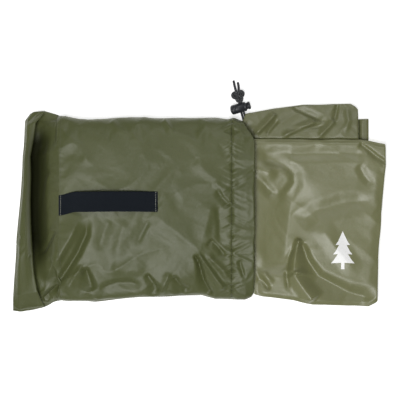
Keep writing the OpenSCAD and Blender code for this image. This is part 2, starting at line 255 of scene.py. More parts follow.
lock_plastic = moulded("lock_plastic", (0.019, 0.021, 0.027), 0.42)
dome = [(3.2 * (1 - math.cos(a)), BARREL_R * math.sin(a)) for a in np.linspace(0, math.pi / 2, 12)]
grooves = [(6.2, 6.0), (6.4, 5.75), (7.0, 5.75), (7.2, 6.0), (BARREL_L - 3.4, 6.0), (BARREL_L - 3.2, 5.8),
           (BARREL_L - 2.7, 5.8), (BARREL_L - 2.5, 6.0)]
lip = [(BARREL_L - 0.6, 5.9), (BARREL_L - 0.15, 5.65), (BARREL_L, 5.2), (BARREL_L, BORE_R + 0.35)]
bore = [(BARREL_L - 0.3, BORE_R), (2.0, BORE_R), (1.6, BORE_R - 0.4), (1.6, 0)]
lock_body = turned("lock_barrel", dome + grooves + lip + bore, CORDS_S - 3.45, 6.9)
lock_body.data.materials.append(lock_plastic)
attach(lock_body, "cord_lock")
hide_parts("cord_lock_body")

plunger = [(PLUNGER_S, 0), (PLUNGER_S, 3.8), (PLUNGER_S + 0.4, PLUNGER_R), (CAP_S - 0.2, PLUNGER_R)]
cap = [(0, 4.4), (0, CAP_R - 0.3), (0.3, CAP_R), (1.7, CAP_R), (2.5, CAP_R - 0.45), (2.95, 3.7), (3.0, 2.9),
       (2.7, 1.6), (2.6, 0)]
lock_button = turned("lock_button", plunger + [(CAP_S + t, r) for t, r in cap], SLOT_S, SLOT_L)
lock_button.data.materials.append(lock_plastic)
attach(lock_button, "lock_button")
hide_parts("cord_lock_button")

SPRING_S, SPRING_L, SPRING_R, WIRE_R = 2.0, 6.8, 2.9, 0.35
COIL_ANGLE = 10 * math.pi
coil = [LOCK_AT + (SPRING_S + SPRING_L * a / COIL_ANGLE - CORDS_S) * LOCK_AXIS
        + SPRING_R * math.sin(a) * CORD_AXIS + np.array([0, 0, -SPRING_R * math.cos(a)])
        for a in np.linspace(0, COIL_ANGLE, 121)]
spring = round_tube("lock_spring", np.array(coil), WIRE_R, 8)
spring.data.materials.append(moulded("spring_steel", (0.52, 0.52, 0.53), 0.3, 1.0))
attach(spring, "cord_lock")
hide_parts("cord_lock_spring")
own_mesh(spring)


# ---- Drawcord: two strands of one 3 mm braided cord. ----
# They come out of the mouth's corner side by side, run through the lock, are tied in an overhand knot
# and end in two cut and melted tails that rest on the ground.
CORD_PITCH = CORD + 0.1
LEAD_FROM_Y = 103.5


def evenly(points, step):
    """Points a step apart along a smooth curve through the given ones."""
    points = np.array(points, dtype=float)
    padded = np.vstack([2 * points[0] - points[1], points, 2 * points[-1] - points[-2]])
    dense = []
    for a, b, c, d in zip(padded[:-3], padded[1:-2], padded[2:-1], padded[3:]):
        for t in np.linspace(0, 1, 24, endpoint=False):
            dense.append(0.5 * (2 * b + (c - a) * t + (2 * a - 5 * b + 4 * c - d) * t ** 2
                                + (3 * b - a - 3 * c + d) * t ** 3))
    dense = np.array(dense + [points[-1]])
    gone = lengths_along(dense)
    stops = np.linspace(0, gone[-1], max(2, int(gone[-1] / step)))
    return np.column_stack([np.interp(stops, gone, dense[:, k]) for k in range(3)])


def ramp(value, low, high):
    """A smooth step from 0 at low to 1 at high."""
    t = np.clip((value - low) / (high - low), 0, 1)
    return t * t * (3 - 2 * t)


def knotted_strand(side):
    """Exit, lock, an open trefoil for the knot, then the tail."""
    start = LOCK_AT + side * CORD_PITCH / 2 * LOCK_AXIS
    exit_at = start + (LEAD_FROM_Y - start[1]) / CORD_AXIS[1] * CORD_AXIS
    middle = LOCK_AT + 15.2 * CORD_AXIS + np.array([0.4, 0, 0.2])

    def off_middle(a, b, c):
        return middle + a * LOCK_AXIS + b * CORD_AXIS + [0, 0, c]

    turn = []
    for t in np.linspace(math.radians(12), math.radians(330), 30):
        wide = 4.3 + 2.2 * math.cos(3 * t)
        sine, cosine = math.sin(2 * t), math.cos(2 * t)
        beside = 1.35 * side * math.cos(3 * t)
        turn.append(off_middle((wide + beside) * sine, -(wide * 0.92 + beside) * cosine,
                               2.3 * math.sin(3 * t) + 1.35 * side * (0.2 * math.sin(3 * t) + 0.75)))
    under = [off_middle(a + 0.9 * side, b, c) for a, b, c in (
        (-1.6, -6.2, -1.4), (1.6, -5.6, -2.6), (3.2, -2.4, -3.9), (3.0, 1.2, -4.4), (1.2, 4.2, -4.2))]
    tail = ([(46.4, 149.0, 2.6), (44.9, 154.5, 2.2), (43.6, 161, 1.8)] if side < 0
            else [(50.2, 149.2, 2.6), (49.9, 154, 2.2), (48.9, 159, 1.8)])
    return [exit_at, start - 3 * CORD_AXIS, start, start + 5 * CORD_AXIS] + turn + under + tail


def crossed_waves(tree, first, second, leans, along, across):
    """The higher of two sine waves, one for each lean: leans * across * first + along * second."""
    waves = []
    for lean in leans:
        side = add(tree, "Math", {0: first, 1: across * 2 * math.pi * lean}, operation="MULTIPLY")
        slant = add(tree, "Math", {0: second, 1: along * 2 * math.pi, 2: side}, operation="MULTIPLY_ADD")
        waves.append(add(tree, "Math", {0: slant}, operation="SINE"))
    return add(tree, "Math", {0: waves[0], 1: waves[1]}, operation="MAXIMUM")


def braid(name, colour, fleck):
    """A woven cord's sheath: two sets of strands that cross, from the tube's UV map."""
    def look(tree):
        split = tree.nodes.new("ShaderNodeSeparateXYZ")
        feed(tree, split, {0: add(tree, "UVMap", {}, "UV", uv_map="cloth_uv")})
        higher = crossed_waves(tree, split.outputs["X"], split.outputs["Y"], (1, -1), 1 / 0.85, 8)
        tint = add(tree, "MapRange", {"Value": higher, "From Min": -0.4})
        mix = add(tree, "Mix", {"A": (*[c * 0.45 for c in colour], 1), "B": (*fleck, 1), "Factor": tint},
                  "Result", data_type="RGBA")
        bump = add(tree, "Bump", {"Strength": 0.8, "Distance": 0.0002, "Height": higher})
        return {"Base Color": mix, "Roughness": 0.62, "Normal": bump, "Sheen Weight": 0.35,
                "Sheen Roughness": 0.5}
    return finish_of(name, look)


cord_braid = braid("cord_braid", (0.012, 0.013, 0.018), (0.022, 0.024, 0.031))
for number, side in ((1, -1), (2, 1)):
    route = evenly(knotted_strand(side), 0.8)
    outside_lock = ramp((route - LOCK_AT) @ CORD_AXIS, 5.5, 8.5)
    thickness = CORD / 2 * (0.97 + 0.11 * outside_lock)
    thickness[-2:] *= (0.96, 0.72)
    strand = round_tube("cord_strand_%d" % number, route, thickness, 16)
    strand.data.materials.append(cord_braid)
    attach(strand, "sack")
    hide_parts("drawcord_leads", "drawcord_knot", "drawcord_tails")


# ---- Stuff sack, front panel: coated nylon drawn over the folded bag inside. ----
# It is cut in one piece, sewn to the base at its left, to the casing at its right and to the back
# panel down both sides, and it is full of the soft folds that the bundle leaves in it.
SEAM_X = -175.5
CASING_X = MOUTH_X - 28
SACK_H = 36.0
SEAM_H = 31.0
MOUTH_H = 33.0
CLOTH_T = 0.7
LOWEST = 0.75
PANEL_ROWS, PANEL_COLS = 190, 250


def lattice_noise(x, y, size, seed):
    """Smooth noise from -1 to 1 with lumps of about this size in mm."""
    grid = np.random.default_rng(seed).uniform(-1, 1, (64, 64))
    gx, gy = x / size + 31.3, y / size + 27.9
    ix, iy = np.floor(gx).astype(int), np.floor(gy).astype(int)
    fx, fy = gx - ix, gy - iy
    fx, fy = fx ** 3 * (fx * (fx * 6 - 15) + 10), fy ** 3 * (fy * (fy * 6 - 15) + 10)
    a, b = grid[ix % 64, iy % 64], grid[(ix + 1) % 64, iy % 64]
    c, d = grid[ix % 64, (iy + 1) % 64], grid[(ix + 1) % 64, (iy + 1) % 64]
    return (a * (1 - fx) + b * fx) * (1 - fy) + (c * (1 - fx) + d * fx) * fy


def crumple(x, y, size, turn, stretch, seed):
    """Soft-footed ridges, longer one way, as handled cloth keeps."""
    c, s = math.cos(math.radians(turn)), math.sin(math.radians(turn))
    along, over = (x * c + y * s) / stretch, -x * s + y * c
    bend = lattice_noise(x, y, size * 2.3, seed + 50) * size * 0.5
    return 1 - 2 * np.abs(lattice_noise(along + 13, over + bend, size, seed)) ** 0.75


def fold(x, y, route, height, left, right, sharp=0.6, ends=(0.2, 0.3), spread=(1, 1)):
    """A ridge, or with a negative height a valley, along a route of points in mm: how far it falls
    off to the left and right of the way it runs, and how long its two ends take to fade."""
    route = np.array(route, dtype=float)
    lengths = np.linalg.norm(np.diff(route, axis=0), axis=1)
    total = lengths.sum()
    best = np.full(np.shape(x), 1e9)
    gone = np.zeros(np.shape(x))
    side = np.ones(np.shape(x))
    before = 0.0
    for (ax, ay), (bx, by), size in zip(route[:-1], route[1:], lengths):
        dx, dy = (bx - ax) / size, (by - ay) / size
        t = np.clip((x - ax) * dx + (y - ay) * dy, 0, size)
        away = np.hypot(x - ax - t * dx, y - ay - t * dy)
        nearer = away < best
        best = np.where(nearer, away, best)
        gone = np.where(nearer, (before + t) / total, gone)
        side = np.where(nearer, np.sign(dx * (y - ay) - dy * (x - ax)), side)
        before += size
    width = np.where(side > 0, left, right) * (spread[0] + (spread[1] - spread[0]) * gone)
    u = np.clip(1 - best / width, 0, 1)
    shape = sharp * u ** 2 + (1 - sharp) * u * u * (3 - 2 * u)
    fade = ramp(gone, -0.001, max(ends[0], 0.001)) * ramp(1 - gone, -0.001, max(ends[1], 0.001))
    return height * shape * fade


SACK_FOLDS = [  # each: route, height, fall-off to the left and right, sharpness, fades, widths
    # the big fold from under the handle to the base's corner, a ridge with a deep valley beside it
    ([(-147, -6), (-158, -32), (-174, -60), (-196, -94)], 5.6, 9, 30, 0.35, (0.3, 0.2)),
    ([(-139, -12), (-142, -34), (-153, -58), (-172, -88), (-197, -120)],
     -6.0, 8, 9, 0.5, (0.2, 0.05)),
    ([(-180, -26), (-190, -44), (-197, -60)], -3, 6, 5, 0.8),
    # soft hangs below the handle
    ([(-112, -12), (-120, -34), (-126, -56)], -2.0, 12, 12, 0.3),
    ([(-92, -14), (-100, -44), (-104, -70)], 1.4, 16, 12, 0.3),
    ([(-62, -14), (-70, -30), (-79, -48)], -1.6, 6, 14, 0.5),
    # the row of toothed folds along the near side
    ([(-146, -70), (-158, -90), (-170, -108)], 3.6, 16, 9, 0.5, (0.2, 0.3), (0.5, 1.2)),
    ([(-143, -72), (-138, -88), (-134, -106)], -5.0, 9, 16, 0.35, (0.2, 0.2), (0.4, 1.3)),
    ([(-128, -104), (-106, -95), (-86, -94), (-70, -98)], -2.6, 8, 12, 0.4, (0.2, 0.2)),
    ([(-112, -74), (-88, -79), (-64, -76)], 1.8, 18, 12, 0.15),
    ([(-66, -82), (-57, -94), (-50, -106)], -3.6, 6, 13, 0.4, (0.15, 0.2), (0.5, 1.3)),
    ([(-36, -80), (-42, -94), (-50, -108)], 2.6, 6, 12, 0.4, (0.2, 0.2), (0.5, 1.2)),
    ([(-32, -84), (-24, -96), (-12, -106)], -3.4, 7, 14, 0.4, (0.15, 0.2), (0.5, 1.3)),
    # the crest where the cloth turns down to the near side
    ([(-62, -4), (-30, -28), (-4, -48), (18, -70)], 2.4, 30, 22, 0.5, (0.2, 0.2)),
    # the folds that run to the drawn-in mouth
    ([(16, 8), (10, -18), (4, -44)], 1.8, 10, 18, 0.3),
    ([(24, 4), (26, -24), (27, -50)], -2.0, 12, 7, 0.4),
    ([(8, -50), (16, -41), (26, -50), (36, -66)], -3, 4, 8, 0.8),
    ([(8, -55), (18, -66), (30, -78), (40, -92)], 3, 7, 9, 0.5),
    ([(-6, -57), (0, -68), (6, -92), (16, -112)], -6.0, 6, 12, 0.6, (0.1, 0.1), (0.3, 1.3)),
    ([(-4, -52), (8, -68), (20, -86), (33, -104)], 4.4, 6, 10, 0.6, (0.2, 0.1), (0.6, 1.2)),
    ([(22, 24), (30, 12), (41, 1)], -2.2, 4, 9, 0.5),
    ([(18, 34), (26, 26), (40, 22)], 0.9, 8, 7, 0.4),
    ([(-6, 60), (14, 40), (34, 28)], 0.7, 10, 12, 0.3),
    # the base seam's corner and the far side
    ([(-170, 96), (-158, 82), (-146, 68), (-132, 50)], 1.3, 10, 12, 0.4),
    ([(-172, 62), (-156, 68), (-140, 60)], -0.8, 12, 9, 0.3),
    ([(-44, 111), (-38, 102), (-31, 92)], 2.0, 6, 9, 0.6, (0.05, 0.4)),
    ([(10, 110), (6, 98), (-4, 84)], 1.2, 9, 9, 0.4, (0.05, 0.4)),
    ([(-110, 110), (-100, 98), (-84, 90)], 1.2, 8, 8, 0.4, (0.05, 0.4))]


def sack_folds(x, y):
    """How far the sack's cloth stands off its smooth shape."""
    lift = sum(fold(x, y, *shape) for shape in SACK_FOLDS)
    # loose cloth everywhere, least on the flat middle
    edge = ramp(np.abs(y), 55, 105) + ramp(-y, 20, 80) * 0.5
    lift += (0.35 + 0.8 * edge) * crumple(x, y, 30, 35, 2.2, 3)
    lift += (0.10 + 0.25 * edge) * crumple(x, y, 13, -40, 2.0, 9)
    lift += 0.06 * crumple(x, y, 5, 75, 1.6, 14)
    return lift


def hem_puckers(x, y):
    """The casing's seam pulls the cloth into short gathers on both its sides."""
    off = x - CASING_X
    lean = y + 0.5 * np.abs(off) * np.sign(lattice_noise(y, y * 0, 16, 21))
    ripple = lattice_noise(lean, y * 0 + 3, 5.5, 5) + 0.6 * lattice_noise(lean, y * 0 + 9, 2.8, 6)
    reach = 7 + 5 * lattice_noise(y, y * 0 + 5, 14, 8)
    near = np.exp(-np.abs(off) / np.maximum(reach, 3))
    return 2.0 * ripple * near - 1.0 * np.exp(-(off / 1.7) ** 2)


def crest(x):
    """The sack's greatest height at x."""
    s = (x - SEAM_X) / (CASING_X - SEAM_X)
    inside = np.clip(s, 0, 1)
    swell = (SACK_H - (SEAM_H + MOUTH_H) / 2) * np.sin(math.pi * inside)
    return SEAM_H + (MOUTH_H - SEAM_H) * inside + swell


# The sack's squarish arch, which slopes more on its near side: arc length against y and z as shares.
arch_y = -np.cos(np.linspace(0, math.pi, 8001))
power = np.where(arch_y < 0, 6.6, 3.9)
arch_z = np.maximum(0, 1 - np.abs(arch_y) ** power) ** (1 / power)
arch_z = arch_z * np.where(arch_y < 0, 1 - 0.38 * np.abs(arch_y) ** 1.5, 1)
arch_s = np.concatenate([[0], np.cumsum(np.hypot(np.diff(arch_y) * HALF, np.diff(arch_z) * 34))])
arch_s /= arch_s[-1]


def far_side(x):
    """How far out the sack's far side lies at x."""
    return np.interp(x, [-176, -168, -151, -124, -86, -49, 21, 36, 44, 52, 60, 70],
                     [116, 115.5, 111.5, 112.5, 114.5, 113.5, 114, 112, 114, 112.5, 110.5, 109])


def near_side(x):
    """How far out its near side lies at x."""
    return np.interp(x, [-176, -160, -132, -108, -77, -49, -25, 2, 21, 40, 58, 66, 70],
                     [116.5, 117.5, 117.5, 115, 111.5, 111, 109.5, 110, 115, 115.5, 115.5, 112, 106])


def sack_section(x, v, height, low=1.0):
    """A point of the sack's outside at x, where v runs from the near edge over the top to the far one."""
    y = np.interp(v, arch_s, arch_y)
    z = np.interp(v, arch_s, arch_z)
    return x, np.where(y > 0, y * far_side(x), y * near_side(x)), low + (height - low) * z


def shares(rows, cols):
    """A column and a row of shares from 0 to 1."""
    return np.linspace(0, 1, rows)[:, None], np.linspace(0, 1, cols)[None, :]


def places(mesh):
    """A mesh's points, one row each."""
    flat = np.empty(len(mesh.vertices) * 3)
    mesh.vertices.foreach_get("co", flat)
    return flat.reshape(-1, 3)


def stood_off(points, lift):
    """The points of a grid, moved along its normals."""
    du = np.gradient(points, axis=0)
    dv = np.gradient(points, axis=1)
    normal = np.cross(du, dv)
    normal /= np.maximum(np.linalg.norm(normal, axis=2), 1e-9)[:, :, None]
    return points + normal * lift[:, :, None]


def cloth_sheet(name, points, thick, wrap=False):
    """Cloth from a grid of points in mm, its outside where u turns into v by the right hand."""
    rows, cols = points.shape[:2]
    bpy.ops.object.select_all(action="DESELECT")
    bpy.ops.mesh.primitive_grid_add(x_subdivisions=rows - 1, y_subdivisions=cols - 1, size=2)
    piece = bpy.context.object
    piece.name = name
    piece.data.name = name
    flat = places(piece.data)
    i = np.rint((flat[:, 0] + 1) / 2 * (rows - 1)).astype(int)
    j = np.rint((flat[:, 1] + 1) / 2 * (cols - 1)).astype(int)
    piece.data.vertices.foreach_set("co", (points[i, j] * MM).ravel())
    piece.data.uv_layers[0].name = "cloth_uv"
    piece.data.update()
    if wrap:
        bpy.ops.object.mode_set(mode="EDIT")
        bpy.ops.mesh.select_all(action="SELECT")
        bpy.ops.mesh.remove_doubles(threshold=0.00001)
        bpy.ops.object.mode_set(mode="OBJECT")
    if thick:
        wall = piece.modifiers.new("wall", "SOLIDIFY")
        wall.thickness = thick * MM
        wall.offset = -1
        bpy.ops.object.modifier_apply(modifier="wall")
    bpy.ops.object.shade_smooth()
    return piece


def settled(name, points, spare, stiff, cap, loose=None, frames=16):
    """The grid after a short cloth simulation: held round its edge and cut a little too large, it
    buckles into creases as handled cloth does. No point moves further than cap, in mm. The spare
    cloth is a share of its size, at the least and at the most, as loose goes from 0 to 1."""
    rows, cols = points.shape[:2]
    up = 10
    piece = cloth_sheet(name, points * up, 0)
    data = piece.data
    start = places(data)
    place = np.empty((rows, cols), dtype=int)
    uv = np.empty(len(data.loops) * 2)
    data.uv_layers[0].data.foreach_get("uv", uv)
    corner = np.empty(len(data.loops), dtype=int)
    data.loops.foreach_get("vertex_index", corner)
    uv = uv.reshape(-1, 2)
    place[np.rint(uv[:, 0] * (rows - 1)).astype(int), np.rint(uv[:, 1] * (cols - 1)).astype(int)] = corner
    held = piece.vertex_groups.new(name="held")
    rim = np.concatenate([place[0], place[-1], place[:, 0], place[:, -1]])
    held.add([int(n) for n in np.unique(rim)], 1.0, "REPLACE")
    cloth = piece.modifiers.new("settle", "CLOTH")
    settings = {"quality": 5, "mass": 0.3, "tension_stiffness": 30, "compression_stiffness": 30,
                "shear_stiffness": 20, "bending_stiffness": stiff, "air_damping": 2,
                "vertex_group_mass": "held", "shrink_min": -spare[0]}
    for key, value in settings.items():
        setattr(cloth.settings, key, value)
    if loose is not None:
        group = piece.vertex_groups.new(name="loose")
        share = np.empty(rows * cols)
        share[place.ravel()] = np.clip(loose + np.zeros((rows, cols)), 0, 1).ravel()
        for level in range(11):
            members = np.nonzero(np.rint(share * 10) == level)[0]
            group.add([int(n) for n in members], level / 10, "REPLACE")
        cloth.settings.vertex_group_shrink = "loose"
        cloth.settings.shrink_max = -spare[1]
    cloth.settings.effector_weights.gravity = 0
    cloth.collision_settings.use_collision = False
    for frame_number in range(1, frames + 1):
        bpy.context.scene.frame_set(frame_number)
    bpy.context.view_layer.objects.active = piece
    bpy.ops.object.modifier_apply(modifier="settle")
    bpy.context.scene.frame_set(1)
    moved = (places(data) - start)[place] / (up * MM)
    bpy.data.objects.remove(piece, do_unlink=True)
    size = np.linalg.norm(moved, axis=2)
    return points + moved * np.minimum(1, cap / np.maximum(size, 1e-9))[:, :, None]


def paint_fold_shade(piece, amount):
    """Paints shade on the cloth that lies deep in a fold: a mark from 0 to 1, by each point's place in mm, by
    which the nylon is darkened and its shine dulled.
    """
    mark = piece.data.attributes.new("recess_shade", "FLOAT", "POINT")
    mark.data.foreach_set("value", np.clip(amount(*(places(piece.data) / MM).T), 0, 1))


def finer(points, rows, cols):
    """The same grid with more rows and columns."""
    old_rows, old_cols = points.shape[:2]
    r = np.linspace(0, old_rows - 1, rows)
    c = np.linspace(0, old_cols - 1, cols)
    r0, c0 = np.minimum(r.astype(int), old_rows - 2), np.minimum(c.astype(int), old_cols - 2)
    fr, fc = (r - r0)[:, None, None], (c - c0)[None, :, None]

    def cubic(p0, p1, p2, p3, t):
        return 0.5 * (2 * p1 + (p2 - p0) * t + (2 * p0 - 5 * p1 + 4 * p2 - p3) * t ** 2
                      + (3 * p1 - p0 - 3 * p2 + p3) * t ** 3)

    def pick(i):
        return np.clip(i, 0, old_rows - 1)

    over = cubic(points[pick(r0 - 1)], points[r0], points[r0 + 1], points[pick(r0 + 2)], fr)
    return cubic(over[:, np.clip(c0 - 1, 0, old_cols - 1)], over[:, c0], over[:, c0 + 1],
                 over[:, np.clip(c0 + 2, 0, old_cols - 1)], fc)


def nylon(name, colour, dark, light, rough=0.46, shine=0.48):
    """Coated nylon: a fine plain weave, a soft shine, and a colour that wanders with handling; where the
    painted-shade mark is set, shade is painted in, darker and less shiny.
    """
    def look(tree):
        place = add(tree, "TexCoord", {}, "Object")

        def noise(scale, detail, output="Fac"):
            return add(tree, "TexNoise", {"Vector": place, "Scale": scale, "Detail": detail}, output)

        def yarn(direction):
            return add(tree, "TexWave", {"Vector": place, "Scale": 620, "Distortion": 0.6, "Detail": 1},
                       "Fac", wave_type="BANDS", bands_direction=direction)

        shade = tree.nodes.new("ShaderNodeValToRGB")
        stops = shade.color_ramp.elements
        stops[0].position, stops[1].position = 0.32, 0.68
        stops[0].color, stops[1].color = (*dark, 1), (*light, 1)
        stops.new(0.5).color = (*colour, 1)
        feed(tree, shade, {"Fac": noise(14, 4)})
        grain = add(tree, "Mix", {"Factor": 0.22, "A": shade.outputs["Color"], "B": noise(900, 2, "Color")},
                    "Result", data_type="RGBA", blend_type="MULTIPLY")
        # Painted shade: the mark mixes the colour towards a near-black olive and dulls the specular and
        # sheen, standing in for the shade deep in a fold.
        recess_shade = add(tree, "Attribute", {}, "Fac", attribute_name="recess_shade")
        deep = add(tree, "Mix", {"B": (*[c * 0.12 for c in dark], 1), "Factor": recess_shade, "A": grain},
                   "Result", data_type="RGBA")
        gloss = add(tree, "MapRange", {"Value": noise(60, 3), "To Min": rough - 0.06, "To Max": rough + 0.08})
        height = add(tree, "Math", {0: yarn("X"), 1: yarn("Y")}, operation="MULTIPLY")
        weave = add(tree, "Bump", {"Strength": 0.25, "Distance": 0.00006, "Height": height})
        crackle = add(tree, "Bump", {"Strength": 0.35, "Distance": 0.0008, "Height": noise(120, 5),
                                     "Normal": weave})
        shade_dulled_shine = {key: add(tree, "MapRange", {"Value": recess_shade, "To Min": full, "To Max": 0.02})
                  for key, full in (("Specular IOR Level", shine), ("Sheen Weight", 0.1))}
        return {"Base Color": deep, "Roughness": gloss, "Normal": crackle, "Sheen Roughness": 0.4,
                "Sheen Tint": (0.9, 0.92, 0.7, 1), **shade_dulled_shine}
    return finish_of(name, look)


sack_nylon = nylon("sack_nylon", (0.091, 0.103, 0.034), (0.083, 0.095, 0.030), (0.099, 0.111, 0.039))
u, v = shares(96, 126)
x = SEAM_X + (CASING_X - SEAM_X) * u + 0 * v
px, py, pz = sack_section(x, v + 0 * u, crest(x))
panel = np.stack([px, py, pz], axis=2)
edge_hold = ramp(np.minimum(v, 1 - v) + 0 * u, 0.0, 0.06)
panel = stood_off(panel, sack_folds(px, py) * edge_hold)
slack = 0.15 + 0.85 * ramp(-py, -15, 75) + 0.25 * ramp(px, 0, 35) + 0.2 * ramp(py, 85, 112)
panel = settled("sack_front_draft", panel, (0.002, 0.011), 2.4, 3.4, slack)
panel = finer(panel, PANEL_ROWS, PANEL_COLS)
edge_hold = finer(edge_hold[:, :, None], PANEL_ROWS, PANEL_COLS)[:, :, 0]
panel = stood_off(panel, hem_puckers(panel[:, :, 0], panel[:, :, 1]) * edge_hold)
panel[:, :, 2] = np.maximum(panel[:, :, 2], 0.9)
front_panel = cloth_sheet("sack_front", panel, CLOTH_T)
front_panel.data.materials.append(sack_nylon)
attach(front_panel, "sack")
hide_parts("sack_front_panel")


# ---- Stuff sack, back panel: the flat sheet that the bundle lies on. ----
# It is sewn to the front along both sides and lies flat, with its edges rolled up a little.
u, v = shares(90, 100)
x = SEAM_X + (CASING_X - SEAM_X) * u + 0 * v
y = -near_side(x) + (near_side(x) + far_side(x)) * v
z = 1.0 + 0.5 * crumple(x, y, 24, 20, 2, 31) * ramp(np.minimum(v, 1 - v) + 0 * u, 0, 0.1)
z = np.maximum(z, LOWEST)
back_panel = cloth_sheet("sack_back", np.stack([x, y, z], axis=2), CLOTH_T)
back_panel.data.materials.append(sack_nylon)
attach(back_panel, "sack")
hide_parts("sack_back_panel")


# ---- Stuff sack, base panel: the boxed end, folded flat. ----
# The panel runs down from the base seam into a pleat, comes back as a flap that stands over it,
# and goes round the sack's end and under it.
BASE_ROWS, BASE_COLS = 130, 170
PLEAT_H = 2.5


def base_left(y):
    """Where the folded base ends at y."""
    return np.interp(y, [-131, -90, -43, 10, 60, 108, 117, 123],
                     [-235.3, -233.4, -230.5, -226.5, -223, -220, -219.5, -213])


def flap_edge(y):
    """Where the flap's fold lies at y."""
    return np.interp(y, [-131, -125, -119, -105, -90, -76, -47, -19, 10, 41, 66, 88, 108, 114, 122],
                     [-194, -196.6, -199, -203, -205.8, -207.6, -209.5, -211, -211.5, -210.5, -211, -206.6,
                      -204.3, -199, -193.8])


share = np.linspace(0, 1, BASE_COLS)
seam = finer(panel, PANEL_ROWS, BASE_COLS)[0]
y = -130.6 + 253 * share
beside = 1 - np.clip((np.abs(y) - 108) / 20, 0, 1)
deep = ramp(y, -84, -40) * ramp(-y, -104, -72)
left, edge = base_left(y), flap_edge(y)
high = np.maximum(sack_section(SEAM_X, share, crest(SEAM_X))[2], 3.2)
rise = high - PLEAT_H
stations = [  # [x, z] across the panel, from the base seam to the ground under it
    (SEAM_X + 0 * y, high),
    (SEAM_X - 3 + 0 * y, PLEAT_H + rise * 0.94),
    (edge + 26, PLEAT_H + rise * 0.76),
    (edge + 18 + 2 * deep, PLEAT_H + rise * (0.56 - 0.06 * deep)),
    (edge + 11 + 4 * deep, PLEAT_H + rise * (0.44 - 0.26 * deep)),
    (edge + 6 + 4 * deep, 2.2 + rise * (0.36 - 0.33 * deep)),
    (edge + 1 - 2 * deep, 1.6 + rise * 0.26 * (1 - deep)),
    (edge - 1.5 - 7 * deep, 1.6 + rise * 0.26 * (1 - deep)),
    (edge - 2 - 7.5 * deep, 2.6 + 6.4 * beside),
    (edge - 0.8, 3.6 + 11.5 * beside),
    (edge, 4.2 + 13.2 * beside),
    (edge - 2, 4.6 + 13.4 * beside),
    (edge - 7, 4.6 + 12.4 * beside),
    (left * 0.4 + edge * 0.6, 4.4 + 11.2 * beside),
    (left * 0.75 + edge * 0.25, 3.9 + 8.6 * beside),
    (left + 2, 3.0 + 4.2 * beside),
    (left, 1.9 + 1.2 * beside),
    (left + 3, 0.8 + 0 * y),
    (left + 14, LOWEST + 0 * y),
    (SEAM_X - 8 + 0 * y, LOWEST + 0 * y),
    (SEAM_X + 0 * y, LOWEST + 0 * y)]
grid = np.zeros((BASE_ROWS, BASE_COLS, 3))
for j in range(BASE_COLS):
    course = []
    for k, (sx, sz) in enumerate(stations):
        low_side = np.interp(sx[j], [-235, -224, -210, -197, -191, -183, -175],
                             [-129.6, -130.6, -128.6, -125.6, -123.5, -118.5, -116.5])
        high_side = np.interp(sx[j], [-226, -219, -208, -194, -182, -175],
                              [112, 116, 121.3, 122.1, 118.5, 116])
        sy = low_side + (high_side - low_side) * share[j]
        near = max(0, 1 - k / 4) if k < 5 else 0
        course.append((sx[j], seam[j, 1] * near + sy * (1 - near), sz[j]))
    line = evenly(course, 0.5)
    gone = np.linspace(0, len(line) - 1, BASE_ROWS)
    for k in range(3):
        grid[:, j, k] = np.interp(gone, np.arange(len(line)), line[:, k])
grid = grid[::-1]
px, py, pz = grid[:, :, 0], grid[:, :, 1], grid[:, :, 2]
lift = sack_folds(px, py) * ramp(px - flap_edge(py), 0, 6)
lift += 0.3 * crumple(px * 2, py, 22, 80, 2.5, 41) * ramp(SEAM_X - px, 1, 6)
grid = stood_off(grid, lift * ramp(pz, 1.5, 5))
from_edge = np.arange(BASE_ROWS)[::-1, None, None]
grid += (seam - grid[-1]) * (1 - ramp(from_edge, 0, 6))
grid = settled("sack_base_draft", grid, (0.005, 0.005), 2.5, 1.6)
grid[:, :, 2] = np.maximum(grid[:, :, 2], LOWEST)
grid = finer(grid, 200, 260)
base_panel = cloth_sheet("sack_base", grid, CLOTH_T)
base_panel.data.materials.append(sack_nylon)
# Painted shade: the cloth in the pleat beside the flap, low down and over most of its length, is darkened and
# dulled where shade falls.
paint_fold_shade(base_panel, lambda x, y, z: ramp(x - flap_edge(y), -9, -0.5) * (1 - ramp(x - flap_edge(y), 6, 24))
       * ramp(y, -94, -40) * ramp(-y, -116, -80) * (1 - ramp(z, 14, 24)))
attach(base_panel, "sack")
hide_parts("sack_base_panel")


# ---- Stuff sack, side seam: the overlocked allowance that shows along the near side. ----
# It stands out past the sack's edge by a changing width, and its rim waves with the overlock stitches.
u, v = shares(200, 7)
x = SEAM_X + 2 + (CASING_X - SEAM_X - 3) * u + 0 * v
stitch_wave = np.sin(x * 2 * math.pi / 2.2)
shows = (1.7 + 0.9 * lattice_noise(x, x * 0, 23, 62)) * ramp(x, SEAM_X, -120) * (1 - ramp(x, -60, 20)) + 0.3
y = -near_side(x) + 0.6 - shows * (1 - v) - 0.2 * stitch_wave * (v < 0.1)
z = 1.3 + 0.9 * (1 - v) * lattice_noise(x, x * 0, 18, 61) + 0.25 * stitch_wave * np.sin(math.pi * v)
seam_fin = cloth_sheet("side_seam", np.stack([x, y, np.maximum(z, 1.0)], axis=2), 0.8)
seam_fin.data.materials.append(sack_nylon)
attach(seam_fin, "sack")
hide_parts("sack_side_seam")


